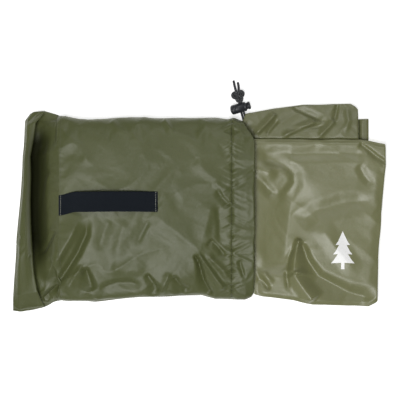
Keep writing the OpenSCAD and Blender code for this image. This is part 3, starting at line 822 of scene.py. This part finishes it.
# ---- Drawcord casing: the mouth's turned hem, a flat tunnel with the cord inside it. ----
# It starts at the puckered seam, rolls over at the mouth and comes back inside the sack.
HEM_ROWS, HEM_COLS = 56, 330
TOP_SHARE = 0.62
HEM_MIDDLE_Z = 16.0
s, w = shares(HEM_ROWS, HEM_COLS)
over_top = w <= TOP_SHARE
arch_v = np.clip(w / TOP_SHARE, 0, 1)
x = np.interp(s, [0, 0.42, 0.5, 0.58, 1],
              [CASING_X, MOUTH_X - 1.6, MOUTH_X, MOUTH_X - 1.6, CASING_X + 1]) + 0 * w
inset = np.interp(s, [0, 0.1, 0.42, 0.46, 0.5, 0.54, 0.58, 0.9, 1],
                  [0.4, 0, 0, 0.6, 2.2, 3.8, 4.6, 4.6, 3.4]) + 0 * w
px, py, pz = sack_section(x, arch_v + 0 * s, np.full(x.shape, MOUTH_H))
back = np.clip((w - TOP_SHARE) / (1 - TOP_SHARE), 0, 1)
py = np.where(over_top, py, far_side(x) - (far_side(x) + near_side(x)) * back)
pz = np.where(over_top, pz, LOWEST)
px = CASING_X + (px - CASING_X) * (1 - 0.5 * ramp(py, 82, 113))
hem = np.stack([px, py, pz], axis=2)
inward = np.stack([np.zeros(x.shape), -py / 114.0, np.clip((HEM_MIDDLE_Z - pz) / 14.0, -1, 1)], axis=2)
inward /= np.maximum(np.linalg.norm(inward, axis=2), 0.2)[:, :, None]
inward[:, :, 1] = np.where(over_top, inward[:, :, 1] * (np.abs(py) > 60), 0)
inward[:, :, 2] = np.where(over_top, np.where(np.abs(py) < 100, -1, inward[:, :, 2]), 1)
hem = hem + inward * inset[:, :, None]
outside = ramp(0.48 - s, 0, 0.06) * ramp(np.minimum(arch_v, 1 - arch_v), 0, 0.05)
hem_lift = (hem_puckers(px, py) + 0.5 * sack_folds(px, py) + 0.6 * crumple(px, py, 15, 78, 2.6, 71)
            + fold(px, py, [(50, -64), (53, -76), (57, -90)], -2.6, 4, 5)
            + fold(px, py, [(60, 60), (58, 20), (61, -20), (59, -60)], 1.0, 7, 9, 0.3))
hem[:, :, 2] += (hem_lift * outside) * np.where(over_top, np.clip(pz / 30, 0, 1), 0)
panel_v = np.linspace(0, 1, PANEL_COLS)
for k in range(3):
    shift = np.interp(arch_v[0], panel_v, panel[-1, :, k]) - hem[0, :, k]
    hem[:, :, k] += np.where(over_top, shift, 0) * (1 - ramp(s, 0, 0.13))
hem = settled("casing_draft", hem, (0.012, 0.012), 0.8, 2.0)
hem[:, :, 2] = np.maximum(hem[:, :, 2], 0.6)
casing = cloth_sheet("casing", hem, 0, wrap=True)
casing.data.materials.append(sack_nylon)
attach(casing, "sack")
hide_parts("drawcord_casing")


# ---- Drawcord, the loop that runs in the casing's tunnel. ----
# It follows the middle of the tunnel over the top and comes back along the bottom. The cloth hides it.
tunnel_out, tunnel_in = hem[int(HEM_ROWS * 0.24)], hem[int(HEM_ROWS * 0.80)]
tunnel = 0.36 * tunnel_out + 0.64 * tunnel_in
tunnel = tunnel[int(HEM_COLS * 0.02):int(HEM_COLS * 0.60)][::3]
tunnel[:, 2] = np.maximum(tunnel[:, 2], 2.6)
under = [(tunnel[0, 0], y, 2.7) for y in np.linspace(-96, 92, 12)]
loop_route = evenly(np.vstack([tunnel[::-1], under]), 2.4)
loop = round_tube("cord_in_casing", loop_route, CORD / 2 * 0.85, 12)
loop.data.materials.append(cord_braid)
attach(loop, "sack")
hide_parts("drawcord_loop")


# ---- Folded bag, top sheet: the ply that shows, with the rest of its fold under it. ----
# A folded edge of several plies runs round it; inside the sack it is narrower and pressed flat.
BAG_FOLDS = [  # each: route, height, fall-off to the left and right, sharpness, fades, widths
    # the hollow along the far edge, and the turned corner
    ([(66, 70), (120, 68), (170, 69), (212, 68)], -2.4, 11, 13, 0.15, (0.02, 0.1)),
    ([(202, 82), (214, 73), (224, 65), (236, 57)], -4.0, 4, 9, 0.7, (0.08, 0.02)),
    ([(240, 52), (236, 10), (232, -50), (230, -104)], -3.0, 17, 17, 0.3, (0.1, 0.1)),
    # the tongue-shaped fold beside the mouth: a mound with a hollow round its end
    ([(66, 50), (84, 46), (100, 40)], 4.2, 12, 16, 0.3, (0.02, 0.4)),
    ([(72, 62), (92, 60), (108, 54), (119, 43), (120, 31), (110, 18), (98, 13)],
     -3.0, 14, 9, 0.15, (0.2, 0.15)),
    ([(64, 44), (80, 31), (98, 14)], -2.6, 8, 12, 0.3, (0.02, 0.2)),
    # the broad slope beside the mouth, and the long soft hollow across the middle
    ([(126, 40), (115, 0), (110, -40), (106, -88)], -6.6, 38, 46, 0.35, (0.25, 0.15)),
    ([(122, -20), (146, -4), (178, 6), (218, 10)], -3.0, 15, 22, 0.2, (0.15, 0.2)),
    ([(200, 56), (208, 40), (220, 26)], -2.0, 9, 9, 0.3),
    # the cone-shaped fold: a curling ridge, a steep face on its right and a hollow at the face's foot
    ([(126, -37), (121, -60), (117, -84)], 9.0, 26, 12, 0.4, (0.12, 0.1), (0.35, 1.2)),
    ([(117, -80), (128, -97), (144, -118)], 7.5, 18, 15, 0.5, (0.1, 0.1), (0.9, 1.1)),
    ([(121, -46), (113, -62), (110, -84), (113, -104)], -2.6, 4, 5, 0.7, (0.15, 0.15)),
    ([(127, -39), (137, -66), (151, -86), (188, -106), (224, -116)],
     -8.0, 15, 36, 0.5, (0.08, 0.15), (0.4, 1.2)),
    ([(66, -86), (80, -92), (90, -104)], -4.0, 6, 7, 0.6, (0.02, 0.2)),
    ([(70, -78), (82, -83), (94, -96)], 2.4, 6, 6, 0.4, (0.1, 0.3)),
    ([(150, -20), (172, -50), (200, -84)], 2.4, 18, 16, 0.3)]


def bag_folds(x, y):
    """How far the bag's top ply stands off its flat shape."""
    lift = sum(fold(x, y, *shape) for shape in BAG_FOLDS)
    lift += 0.55 * crumple(x, y, 42, -30, 2.0, 81) + 0.05 * crumple(x, y, 13, 40, 1.8, 83)
    return lift


def ply_stack(name, low_y, high_y, left_x, right_x, columns, top, bottom, plies, cols, bulge=1.1,
              spare=None):
    """A folded stack between two heights: its top and bottom sheets, and rounded plies round its edge.
    low_y and high_y give the sides at x, left_x and right_x the ends at y, top the upper height."""
    u = columns[:, None]
    v = np.linspace(0, 1, cols)[None, :]
    xm = left_x(0) + (right_x(0) - left_x(0)) * u + 0 * v
    y = low_y(xm) + (high_y(xm) - low_y(xm)) * v
    x = left_x(y) + (right_x(y) - left_x(y)) * u
    y = low_y(x) + (high_y(x) - low_y(x)) * v
    upper, lower = top(x, y), bottom(x, y)
    rows = len(columns)
    if spare is not None:
        inside = np.minimum(y - low_y(x), high_y(x) - y)
        sheet = settled(name + "_draft", np.stack([x, y, upper], axis=2), spare, 3.0, 3.0,
                        ramp(x, MOUTH_X - 10, MOUTH_X + 25) * ramp(inside, 4, 30))
        x, y, upper = sheet[:, :, 0], sheet[:, :, 1], np.maximum(sheet[:, :, 2], lower + 1)
    ring = ([(i, 0) for i in range(rows)] + [(rows - 1, j) for j in range(1, cols)]
            + [(i, cols - 1) for i in range(rows - 2, -1, -1)] + [(0, j) for j in range(cols - 2, 0, -1)])
    ri, rj = np.array(ring).T
    ex, ey = x[ri, rj], y[ri, rj]
    tx, ty = np.roll(ex, -1) - np.roll(ex, 1), np.roll(ey, -1) - np.roll(ey, 1)
    size = np.maximum(np.hypot(tx, ty), 1e-9)
    nx, ny = ty / size, -tx / size
    mesh = bmesh.new()
    tops, bottoms = [[[mesh.verts.new((x[i, j] * MM, y[i, j] * MM, z[i, j] * MM)) for j in range(cols)]
                      for i in range(rows)] for z in (upper, lower)]
    for i in range(rows - 1):
        for j in range(cols - 1):
            mesh.faces.new((tops[i][j], tops[i + 1][j], tops[i + 1][j + 1], tops[i][j + 1]))
            mesh.faces.new((bottoms[i][j], bottoms[i][j + 1], bottoms[i + 1][j + 1], bottoms[i + 1][j]))
    levels = [[tops[i][j] for i, j in ring]]
    steps = plies * 6
    for k in range(1, steps):
        t = k / steps
        out = bulge * abs(math.sin(math.pi * t * plies)) ** 0.6 - 0.2
        lag = 0.5 * lattice_noise(ex + 40 * int(t * plies), ey, 26, 90 + int(t * plies))
        level = []
        for n in range(len(ring)):
            z = upper[ri[n], rj[n]] * (1 - t) + lower[ri[n], rj[n]] * t
            reach = out + lag[n]
            level.append(mesh.verts.new(((ex[n] + nx[n] * reach) * MM, (ey[n] + ny[n] * reach) * MM, z * MM)))
        levels.append(level)
    levels.append([bottoms[i][j] for i, j in ring])
    for high, low in zip(levels[:-1], levels[1:]):
        for n in range(len(ring)):
            m = (n + 1) % len(ring)
            mesh.faces.new((high[n], low[n], low[m], high[m]))
    for face in mesh.faces:
        face.smooth = True
    return from_bmesh(name, mesh)


IN_X = MOUTH_X - 209
TOP_Z = 20.5


# The top sheet's near side, far side and right end, and the heights of its two surfaces.
def top_low_y(x):
    return np.interp(x, [-140, 64, 70, 80, 96, 118, 136, 143, 199, 213, 222, 228, 236],
                     [-88, -90, -107.5, -110.3, -112.1, -115, -119.3, -120.5, -122.3, -122.9, -118, -112,
                      -110])


def top_high_y(x):
    return np.interp(x, [-140, 56, 67, 202, 214, 227, 236], [78, 80, 86, 85, 83.3, 80.3, 79])


def top_right_x(y):
    return np.interp(y, [-123, -112, -61, -20, 10, 57, 82], [222.5, 223.5, 224.6, 227.5, 230, 234.4, 233.2])


def top_surface(x, y):
    out = ramp(x, MOUTH_X - 2, MOUTH_X + 16)
    margin = np.minimum(y - top_low_y(x), top_high_y(x) - y)
    inner = (1 - out) * (2 + 5 * ramp(-y, 50, 86))
    rounded = 2.4 * (1 - ramp(margin, 0, 6)) ** 2 * out
    return TOP_Z - inner - 2.6 * out + bag_folds(x, y) * (0.18 + 0.82 * out) - rounded


def top_underside(x, y):
    return 7.3 + 6.4 * (1 - ramp(x, MOUTH_X + 1, MOUTH_X + 15)) + 0 * y


columns = np.concatenate([np.linspace(0, 0.535, 60, endpoint=False), np.linspace(0.535, 1, 120)])
bag_nylon = nylon("bag_nylon", (0.186, 0.191, 0.081), (0.174, 0.179, 0.074), (0.198, 0.203, 0.089),
                  0.42, 0.78)
top_sheet = ply_stack("bag_top", top_low_y, top_high_y, lambda y: IN_X + 0 * y, top_right_x, columns,
                      top_surface, top_underside, 4, 150, spare=(0.001, 0.0035))
top_sheet.data.materials.append(bag_nylon)
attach(top_sheet, "bivy")
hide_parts("bivy_top_sheet")


# ---- Folded bag, floor sheet: the heavier ply that sticks out behind the top sheet. ----
# Its far side is wider than the top sheet, with short folds that run in under it.
def floor_low_y(x):
    return np.interp(x, [-140, 60, 100, 202], [-86, -88, -99, -100])


def floor_high_y(x):
    return np.interp(x, [-140, 53, 59, 94, 131, 181, 191, 197, 201],
                     [98, 99, 118, 124.5, 129.3, 130.2, 130.5, 127, 122])


REAR_FOLDS = [  # each: route, height, fall-off to the left and right, sharpness, fades, widths
    ([(97, 119), (84, 105), (70, 91)], 4.2, 5, 9, 0.6, (0.1, 0.2)),
    ([(148, 109), (126, 99), (103, 89)], 4.0, 4, 9, 0.7, (0.1, 0.2)),
    ([(171, 110), (160, 99), (150, 89)], 3.2, 5, 7, 0.6, (0.1, 0.2)),
    ([(112, 130), (140, 117), (165, 105)], -3.6, 9, 5, 0.6),
    ([(112, 98), (138, 101), (165, 105)], -2.6, 5, 5, 0.7),
    ([(175, 131), (173, 120), (170, 108)], -2.4, 4, 6, 0.7, (0.05, 0.2)),
    ([(100, 112), (88, 97), (84, 90)], -2.8, 5, 5, 0.6),
    ([(185, 128), (188, 110), (184, 92)], 1.6, 6, 6, 0.4)]


def rear_folds(x, y):
    """The folds of the floor sheet where it shows past the top sheet."""
    lift = sum(fold(x, y, *shape) for shape in REAR_FOLDS)
    return lift + 0.5 * crumple(x, y, 18, 40, 2, 101) + 0.15 * crumple(x, y, 8, -30, 2, 103)


def floor_surface(x, y):
    out = ramp(x, MOUTH_X - 14, MOUTH_X + 4)
    loose = ramp(y, 82.5, 88.5) * out
    rear = (rear_folds(x, y) + 7.5 - 4.5 * ramp(y, 100, 128)) * loose
    return 12.2 - 5.9 * out + rear + 0.1 * crumple(x, y, 20, 10, 2, 7) * out


def floor_underside(x, y):
    return 2.3 + 6.2 * (1 - ramp(x, MOUTH_X - 14, MOUTH_X + 4)) + 0 * y


floor_nylon = nylon("floor_nylon", (0.152, 0.159, 0.067), (0.142, 0.149, 0.061), (0.162, 0.169, 0.073),
                    0.43, 0.7)
columns = np.concatenate([np.linspace(0, 0.61, 50, endpoint=False), np.linspace(0.61, 1, 90)])
floor_sheet = ply_stack("bag_floor", floor_low_y, floor_high_y, lambda y: IN_X + 0 * y,
                        lambda y: 200 + 0.02 * (100 - y), columns, floor_surface, floor_underside,
                        3, 150, 0.8, spare=(0.003, 0.012))
floor_sheet.data.materials.append(floor_nylon)
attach(floor_sheet, "bivy")
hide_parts("bivy_floor_sheet")


# ---- Folded bag, hood: the lowest fold, whose corner shows past the floor sheet. ----
# It lies on the ground outside the sack and is lifted on to the sack's back panel inside it.
def hood_surface(x, y):
    corner = 4.5 * ramp(x, 201.5, 205) * ramp(y, 60, 86)
    return 7.9 - 6.0 * ramp(x, MOUTH_X + 1, MOUTH_X + 13) + corner + 0.15 * crumple(x, y, 14, 80, 2, 111)


def hood_underside(x, y):
    return 0.5 + 5.8 * (1 - ramp(x, MOUTH_X + 1, MOUTH_X + 13)) + 0 * y


hood = ply_stack("bag_hood", lambda x: np.interp(x, [-140, 60, 215], [-82, -84, -92]),
                 lambda x: np.interp(x, [-140, 60, 90, 215], [92, 96, 108, 112]),
                 lambda y: IN_X + 8 + 0 * y, lambda y: 213.6 + 0 * y, np.linspace(0, 1, 120),
                 hood_surface, hood_underside, 2, 110, 0.5)
hood.data.materials.append(floor_nylon)
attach(hood, "bivy")
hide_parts("bivy_hood")


# ---- Stitching: short runs of thread that lie in the cloth. ----
# The casing and the base are sewn with thread close to the cloth's colour, the handle with a pale one.
def thread_work(name, runs, material, length, width, body, node):
    """One stitch for each [middle, direction, up], all copies of one rounded stitch."""
    bpy.ops.object.select_all(action="DESELECT")
    bpy.ops.mesh.primitive_uv_sphere_add(segments=8, ring_count=6, radius=0.5)
    first = bpy.context.object
    stitch = np.array([tuple(vert.co) for vert in first.data.vertices])
    faces = [tuple(face.vertices) for face in first.data.polygons]
    bpy.data.objects.remove(first, do_unlink=True)
    squared = np.sign(stitch) * np.abs(stitch * 2) ** 0.75 / 2
    verts, polys = [], []
    for middle, along, up in runs:
        along = np.array(along) / np.linalg.norm(along)
        across = np.cross(up, along)
        across /= np.linalg.norm(across)
        upright = np.cross(along, across)
        sag = -0.16 * (2 * squared[:, 0]) ** 2
        placed = (np.array(middle) + squared[:, :1] * length * along + squared[:, 1:2] * width * across
                  + (squared[:, 2:] * width * 0.8 + sag[:, None] * 2) * upright)
        polys += [tuple(n + len(verts) for n in face) for face in faces]
        verts += [tuple(p * MM) for p in placed]
    data = bpy.data.meshes.new(name)
    data.from_pydata(verts, [], polys)
    piece = bpy.data.objects.new(name, data)
    bpy.context.scene.collection.objects.link(piece)
    data.polygons.foreach_set("use_smooth", [True] * len(data.polygons))
    data.materials.append(material)
    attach(piece, body)
    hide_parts(node)
    return piece


def thread(name, colour):
    """Spun thread: fine twisted plies across each stitch."""
    def look(tree):
        twist = add(tree, "TexWave", {"Vector": add(tree, "TexCoord", {}, "Object"), "Scale": 900}, "Fac",
                    bands_direction="DIAGONAL")
        shade = add(tree, "Mix", {"A": (*[c * 0.7 for c in colour], 1), "B": (*colour, 1), "Factor": twist},
                    "Result", data_type="RGBA")
        return {"Base Color": shade, "Roughness": 0.6, "Sheen Weight": 0.3,
                "Normal": add(tree, "Bump", {"Distance": 0.0001, "Height": twist})}
    return finish_of(name, look)


def row_of_stitches(line, ahead_line, pitch, lift):
    """Stitches a pitch apart along a line of points on the cloth; ahead_line is the cloth's next row."""
    gone = lengths_along(line)

    def at(stop, points=line):
        return np.array([np.interp(stop, gone, points[:, k]) for k in range(3)])

    runs = []
    for stop in np.arange(4, gone[-1] - 4, pitch):
        along = at(stop + 0.8) - at(stop - 0.8)
        up = np.cross(at(stop, ahead_line) - at(stop), along)
        up /= np.linalg.norm(up)
        runs.append((at(stop) + up * lift, along, up))
    return runs


dark_thread = thread("dark_thread", (0.085, 0.092, 0.045))
pale_thread = thread("pale_thread", (0.42, 0.43, 0.36))
stitch_row = int(round((CASING_X - 1.6 - SEAM_X) / (CASING_X - SEAM_X) * (len(panel) - 1)))
thread_work("casing_stitches", row_of_stitches(panel[stitch_row], panel[stitch_row + 1], 3.0, 0.08),
            dark_thread, 2.3, 0.55, "sack", "casing_stitching")
stitch_row = int(round(1.8 / (CASING_X - SEAM_X) * (len(panel) - 1)))
thread_work("base_stitches", row_of_stitches(panel[stitch_row], panel[stitch_row + 1], 3.2, 0.06),
            dark_thread, 2.3, 0.5, "sack", "base_seam_stitching")


# ---- Webbing handle: 25 mm flat webbing, sewn to the front at both ends with a row of stitches. ----
# It is slack between them, so that a hand goes under it; its base end dips over the sack's edge.
STRAP_HALF_W, STRAP_HALF_T = 12.7, 0.7
STRAP_STEPS, STRAP_AROUND = 170, 56
SOUNDINGS = (-12, -6, 0, 6, 12)
front_tree = BVHTree.FromObject(front_panel, bpy.context.evaluated_depsgraph_get())


def cloth_height(tree, x, y):
    """The height in mm of the highest cloth at a place."""
    hit = tree.ray_cast(Vector((x * MM, y * MM, 0.2)), Vector((0, 0, -1)))
    return hit[0].z / MM if hit[0] is not None else 0.0


def face_outward(fill_ends=False):
    """Turns the active mesh's faces outward, after closing its open ends if asked."""
    bpy.ops.object.mode_set(mode="EDIT")
    if fill_ends:
        bpy.ops.mesh.select_all(action="DESELECT")
        bpy.ops.mesh.select_non_manifold()
        bpy.ops.mesh.edge_face_add()
    bpy.ops.mesh.select_all(action="SELECT")
    bpy.ops.mesh.normals_make_consistent(inside=False)
    bpy.ops.object.mode_set(mode="OBJECT")


path_x = np.linspace(-175.3, -51.5, STRAP_STEPS)
bow = np.interp(path_x, [-176, -168, -158, -146, -120, -92, -76, -62, -57, -50],
                [0, 0, 1.6, 4.4, 5.6, 4.6, 3.0, 0.8, 0, 0])
bow = np.convolve(np.pad(bow, 8, mode="edge"), np.ones(17) / 17, mode="valid")
middle_y = 8 - 4.6 * ramp(-path_x, 152, 177) + 0.3 * np.sin(path_x / 21)
angle = np.linspace(0, 2 * math.pi, 1441)
profile = np.column_stack([np.sign(np.cos(angle)) * np.abs(np.cos(angle)) ** 0.22,
                           np.sign(np.sin(angle)) * np.abs(np.sin(angle)) ** 0.7])
gone = lengths_along(profile * (STRAP_HALF_W, STRAP_HALF_T))
stops = np.linspace(0, gone[-1], STRAP_AROUND + 1)
profile = np.column_stack([np.interp(stops, gone, profile[:, k]) for k in range(2)])
strap = np.zeros((STRAP_STEPS, STRAP_AROUND + 1, 3))
for i in range(STRAP_STEPS):
    smooth_top = np.interp(path_x[i], [-175.5, -120, -50], [31.4, 35.6, 36.6])
    sides = [cloth_height(front_tree, path_x[i], middle_y[i] + off) for off in SOUNDINGS]
    tight = 1 - ramp(bow[i], 0.1, 3.0)
    for k in range(STRAP_AROUND + 1):
        off = profile[k, 0] * STRAP_HALF_W
        under = np.interp(off, SOUNDINGS, sides)
        z = under * tight + max(smooth_top, crest(path_x[i])) * (1 - tight) + bow[i] + 0.85
        z += profile[k, 1] * STRAP_HALF_T + 0.35 * (off / STRAP_HALF_W) ** 2 * (1 - tight)
        strap[i, k] = (path_x[i], middle_y[i] + off, z)
for sweep in range(3):
    strap[1:-1, :, 2] = (strap[:-2, :, 2] + 2 * strap[1:-1, :, 2] + strap[2:, :, 2]) / 4
handle = cloth_sheet("webbing_strap", strap, 0, wrap=True)
face_outward(fill_ends=True)


def webbing_weave(name, colour, lift):
    """Flat nylon webbing: ribs across it and a herringbone of warp threads, with firm edges."""
    def look(tree):
        split = tree.nodes.new("ShaderNodeSeparateXYZ")
        feed(tree, split, {0: add(tree, "TexCoord", {}, "Object")})
        top = crossed_waves(tree, split.outputs["X"], split.outputs["Y"], (1, -1), 380, 650)
        shade = add(tree, "MapRange", {"Value": top, "From Min": -0.6})
        mix = add(tree, "Mix", {"A": (*[c * 0.5 for c in colour], 1), "B": (*lift, 1), "Factor": shade},
                  "Result", data_type="RGBA")
        return {"Base Color": mix, "Roughness": 0.62, "Specular IOR Level": 0.14, "Sheen Weight": 0.06,
                "Sheen Roughness": 0.45, "Sheen Tint": (0.55, 0.65, 0.9, 1),
                "Normal": add(tree, "Bump", {"Strength": 0.7, "Distance": 0.00022, "Height": top})}
    return finish_of(name, look)


handle.data.materials.append(webbing_weave("strap_webbing", (0.004, 0.006, 0.009), (0.008, 0.012, 0.018)))
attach(handle, "sack")
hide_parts("webbing_handle")

strap_runs = []
for end_x in (-172.9, -54.0):
    i = int(np.argmin(np.abs(path_x - end_x)))
    for off in np.linspace(-11.2, 11.2, 9):
        k = int(np.argmin(np.abs(profile[:STRAP_AROUND // 2, 0] * STRAP_HALF_W - off)))
        strap_runs.append(((end_x, middle_y[i] + off, strap[i, k, 2] + 0.12), (0.05, 1, 0), (0, 0, 1)))
thread_work("handle_stitches", strap_runs, pale_thread, 2.1, 0.6, "sack", "handle_stitching")


# ---- Folded bag, hood hem: a gathered tunnel at the folded bag's inner end. ----
# It is an open-ended tube with a wall: the grid runs along its outside and comes back along its inside.
rows, cols = 150, 28
out_y = np.concatenate([np.linspace(-59.6, 59.6, rows), np.linspace(59.6, -59.6, rows)])
outer = np.concatenate([np.full(rows, 2.6), np.full(rows, 1.55)])
outer[0] = outer[rows - 1] = 2.1
around = np.linspace(0, 2 * math.pi, cols + 1)[None, :]
gather = 0.28 * lattice_noise(out_y, out_y * 0, 3.2, 121)[:, None] * (outer > 2)[:, None]
radius = outer[:, None] + gather * (0.6 + 0.4 * np.cos(around * 2))
hem_grid = np.stack([IN_X - 2.85 + radius * np.cos(around), out_y[:, None] + 0 * around,
                     8.85 + radius * np.sin(around) * 0.98], axis=2)
hood_hem = cloth_sheet("bag_hood_hem", np.vstack([hem_grid, hem_grid[:1]]), 0, wrap=True)
face_outward()
hood_hem.data.materials.append(bag_nylon)
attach(hood_hem, "bivy")
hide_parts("hood_hem")


# ---- Folded bag, seam tape: a clear strip welded over the seam between two plies. ----
# It lies on the floor sheet, under the top sheet, inside the sack.
u, v = shares(160, 16)
x = IN_X + 6 + 195 * u + 0 * v
y = 40 + 18 * v + 0 * u + 0.3 * np.sin(x / 17)
tape = cloth_sheet("seam_tape", np.stack([x, y, 13.15 + 0 * x], axis=2), 0.25)
tape_film = nylon("tape_film", (0.30, 0.31, 0.26), (0.27, 0.28, 0.23), (0.33, 0.34, 0.29), 0.3)
tape.data.materials.append(tape_film)
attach(tape, "bivy")
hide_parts("bivy_seam_tape")


# ---- Printed mark: a plain conifer in white ink on the top sheet. ----
# The ink is a thin film that follows the cloth; the tree has three tiers and a trunk.
MARK_X, MARK_Y, MARK_H = 180.5, -53.0, 48.0
top_tree = BVHTree.FromObject(top_sheet, bpy.context.evaluated_depsgraph_get())
across_mark = MARK_X + np.linspace(-0.34, 0.34, 90) * MARK_H
up_mark = MARK_Y + (np.linspace(-0.01, 1.01, 130) - 0.5) * MARK_H
film = np.array([[(x, y, cloth_height(top_tree, x, y) + 0.22) for y in up_mark] for x in across_mark])
mark = cloth_sheet("white_conifer", film, 0.14)
outline = [(0.045, 0), (0.045, 0.17), (0.31, 0.155), (0.24, 0.235), (0.13, 0.40), (0.25, 0.39),
           (0.19, 0.47), (0.10, 0.64), (0.19, 0.635), (0.12, 0.74), (0, 1.0)]
outline = outline + [(-a, b) for a, b in outline[-2::-1]]
bpy.ops.object.select_all(action="DESELECT")
bpy.ops.mesh.primitive_circle_add(vertices=len(outline), radius=0.01, fill_type="NGON")
cutter = bpy.context.object
for vert, (a, b) in zip(cutter.data.vertices, outline):
    vert.co = ((MARK_X + a * MARK_H) * MM, (MARK_Y + (b - 0.5) * MARK_H) * MM, 0.002)
bpy.ops.object.mode_set(mode="EDIT")
bpy.ops.mesh.select_all(action="SELECT")
bpy.ops.mesh.extrude_region_move(TRANSFORM_OT_translate={"value": (0, 0, 0.04)})
bpy.ops.object.mode_set(mode="OBJECT")
face_outward()
cut_with(mark, cutter, "INTERSECT")


def ink(name, worn, full):
    """Opaque printed ink with fine worn specks."""
    def look(tree):
        place = add(tree, "TexCoord", {}, "Object")
        shade = tree.nodes.new("ShaderNodeValToRGB")
        stops = shade.color_ramp.elements
        stops[0].position, stops[1].position = 0.25, 0.45
        stops[0].color, stops[1].color = (*worn, 1), (*full, 1)
        feed(tree, shade, {"Fac": add(tree, "TexNoise", {"Vector": place, "Scale": 1400}, "Fac")})
        return {"Base Color": shade.outputs["Color"], "Roughness": 0.42}
    return finish_of(name, look)


mark.data.materials.append(ink("white_ink", (0.74, 0.74, 0.71), (0.93, 0.93, 0.92)))
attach(mark, "bivy")
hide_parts("printed_mark")
